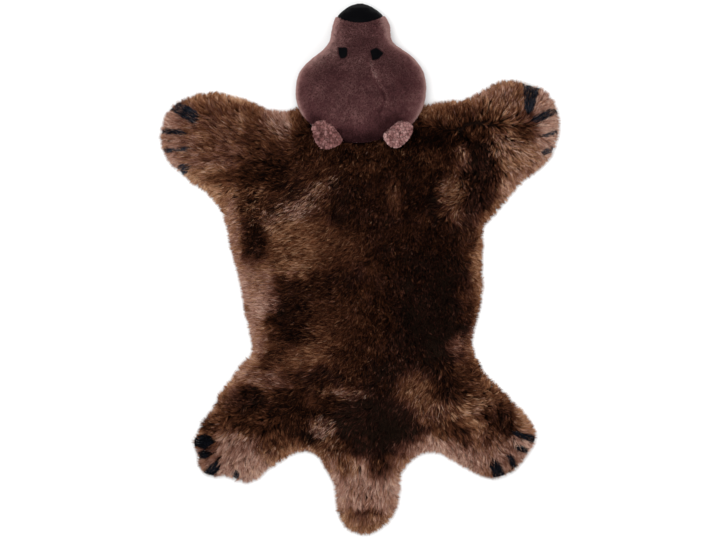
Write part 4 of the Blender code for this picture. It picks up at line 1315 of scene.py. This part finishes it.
def make_ear(node, seed, tone):
    """One curly ear, stuffed flat."""
    form = remeshed(node + "_cover", [node], voxel=1.8)
    puffed(form, inset=1.5, cap=2.5, pressure=3.0)
    fitted(smoothed(form, 2), [node], EAR_MARGINS)
    finished(form, backing_material(node + "_backing", (70, 44, 42), (104, 70, 66)), node)

    def tones(root, by_lock, off):
        """Lighter and darker curls, each one painted pale at its middle as a highlight on its crown and
        darker towards its edge as shade between the curls.
        """
        # painted highlight on each curl's crown, painted shade between the curls
        return mottled(tone + 0.16 * (0.35 - off), root[:, :2], ((0.12, 7, seed),)) + 0.07 * by_lock[:, 2]

    nap(node + "_nap", form, EAR_NAP, tones, CURL, seed)


def make_patch(node, head):
    """One leather eye, its corners rounded, lying on the head."""
    form = smoothed(remeshed(node + "_patch", [node], voxel=0.45), 6)
    points = positions(form)
    old, new = tree_of("head"), BVHTree.FromObject(head, bpy.context.evaluated_depsgraph_get())
    for point in points:
        above = Vector((*point[:2], SKY))
        before = old.ray_cast(above, DOWN)[0].z
        after = new.ray_cast(above * MM, DOWN)[0].z / MM
        point[2] += after - before + EYE_LIFT
    move_points(form, points)
    finished(form, LEATHER, node)
    size = flat_size(node)


def make_nose(face):
    """The leather nose, cut from a finer copy of the stuffed form and lifted off its plush."""
    mesh = face.data.copy()
    mesh.name = "nose_cap"
    form = modified(new_object("nose_cap", mesh), "SUBSURF", levels=1, render_levels=1)
    points = positions(form)
    inside = NOSE_RADIUS - np.linalg.norm(points[:, :2] - NOSE_CENTRE, axis=1)
    lift = NOSE_LIFT * np.clip(inside / NOSE_LIFT_BAND, 0.2, 1)
    points += normals(form) * lift[:, None]
    points[:, 2] = np.maximum(points[:, 2], FORM_FLOOR)
    move_points(form, points)
    combined(form, "INTERSECT", round_cutter(NOSE_RADIUS + NOSE_OVERLAP))
    finished(form, LEATHER, "nose")


HEAD = make_face_form()
make_nose(HEAD)
make_head(HEAD)
make_ear("ear_left", seed=61, tone=0.62)
make_ear("ear_right", seed=62, tone=0.79)
make_patch("eye_left", HEAD)
make_patch("eye_right", HEAD)

# -------------------- floor, light and camera

PHOTO_WIDTH = 716
PHOTO_MM_PER_PIXEL = 2.0755
CAMERA_LENS = 300
CAMERA_SENSOR = 36
AIM = (-4.15, -3.1, 20)


def make_floor():
    """A plain pale floor."""
    bpy.ops.mesh.primitive_plane_add(size=8, location=(0, 0, 0))
    floor = bpy.context.object
    floor.name = "floor"
    floor.data.materials.append(mottled_material("floor", 0.9, 0.05, 3, 2, (0.86, 0.86, 0.86, 1),
                                                 (0.89, 0.89, 0.89, 1)))


def add_light(name, place, size, power):
    """A square soft light at place, pointed at the origin."""
    data = bpy.data.lights.new(name, "AREA")
    set_all(data, shape="SQUARE", size=size, energy=power)
    light = new_object(name, data)
    light.location = place
    light.rotation_mode = "QUATERNION"
    light.rotation_quaternion = (-Vector(place)).to_track_quat("-Z", "Y")


def make_world(strength):
    """Even white light from all round."""
    world = bpy.data.worlds.new("studio")
    bpy.context.scene.world = world
    world.use_nodes = True
    background = world.node_tree.nodes["Background"]
    background.inputs["Color"].default_value = (1, 1, 1, 1)
    background.inputs["Strength"].default_value = strength


def add_camera():
    """A camera straight above, as far off as makes a pixel of the photograph PHOTO_MM_PER_PIXEL wide."""
    data = bpy.data.cameras.new("camera")
    set_all(data, lens=CAMERA_LENS, sensor_width=CAMERA_SENSOR, clip_end=40)
    camera = new_object("camera", data)
    distance = PHOTO_WIDTH * PHOTO_MM_PER_PIXEL * CAMERA_LENS / CAMERA_SENSOR
    camera.location = Vector((AIM[0], AIM[1], AIM[2] + distance)) * MM
    return camera


make_floor()
make_world(strength=0.75)
add_light("key", place=(-0.7, 0.9, 2.7), size=2.4, power=60)
add_light("fill", place=(1.4, -0.8, 2.4), size=2.0, power=20)
bpy.context.scene.camera = add_camera()
bpy.context.scene.view_settings.view_transform = "Standard"
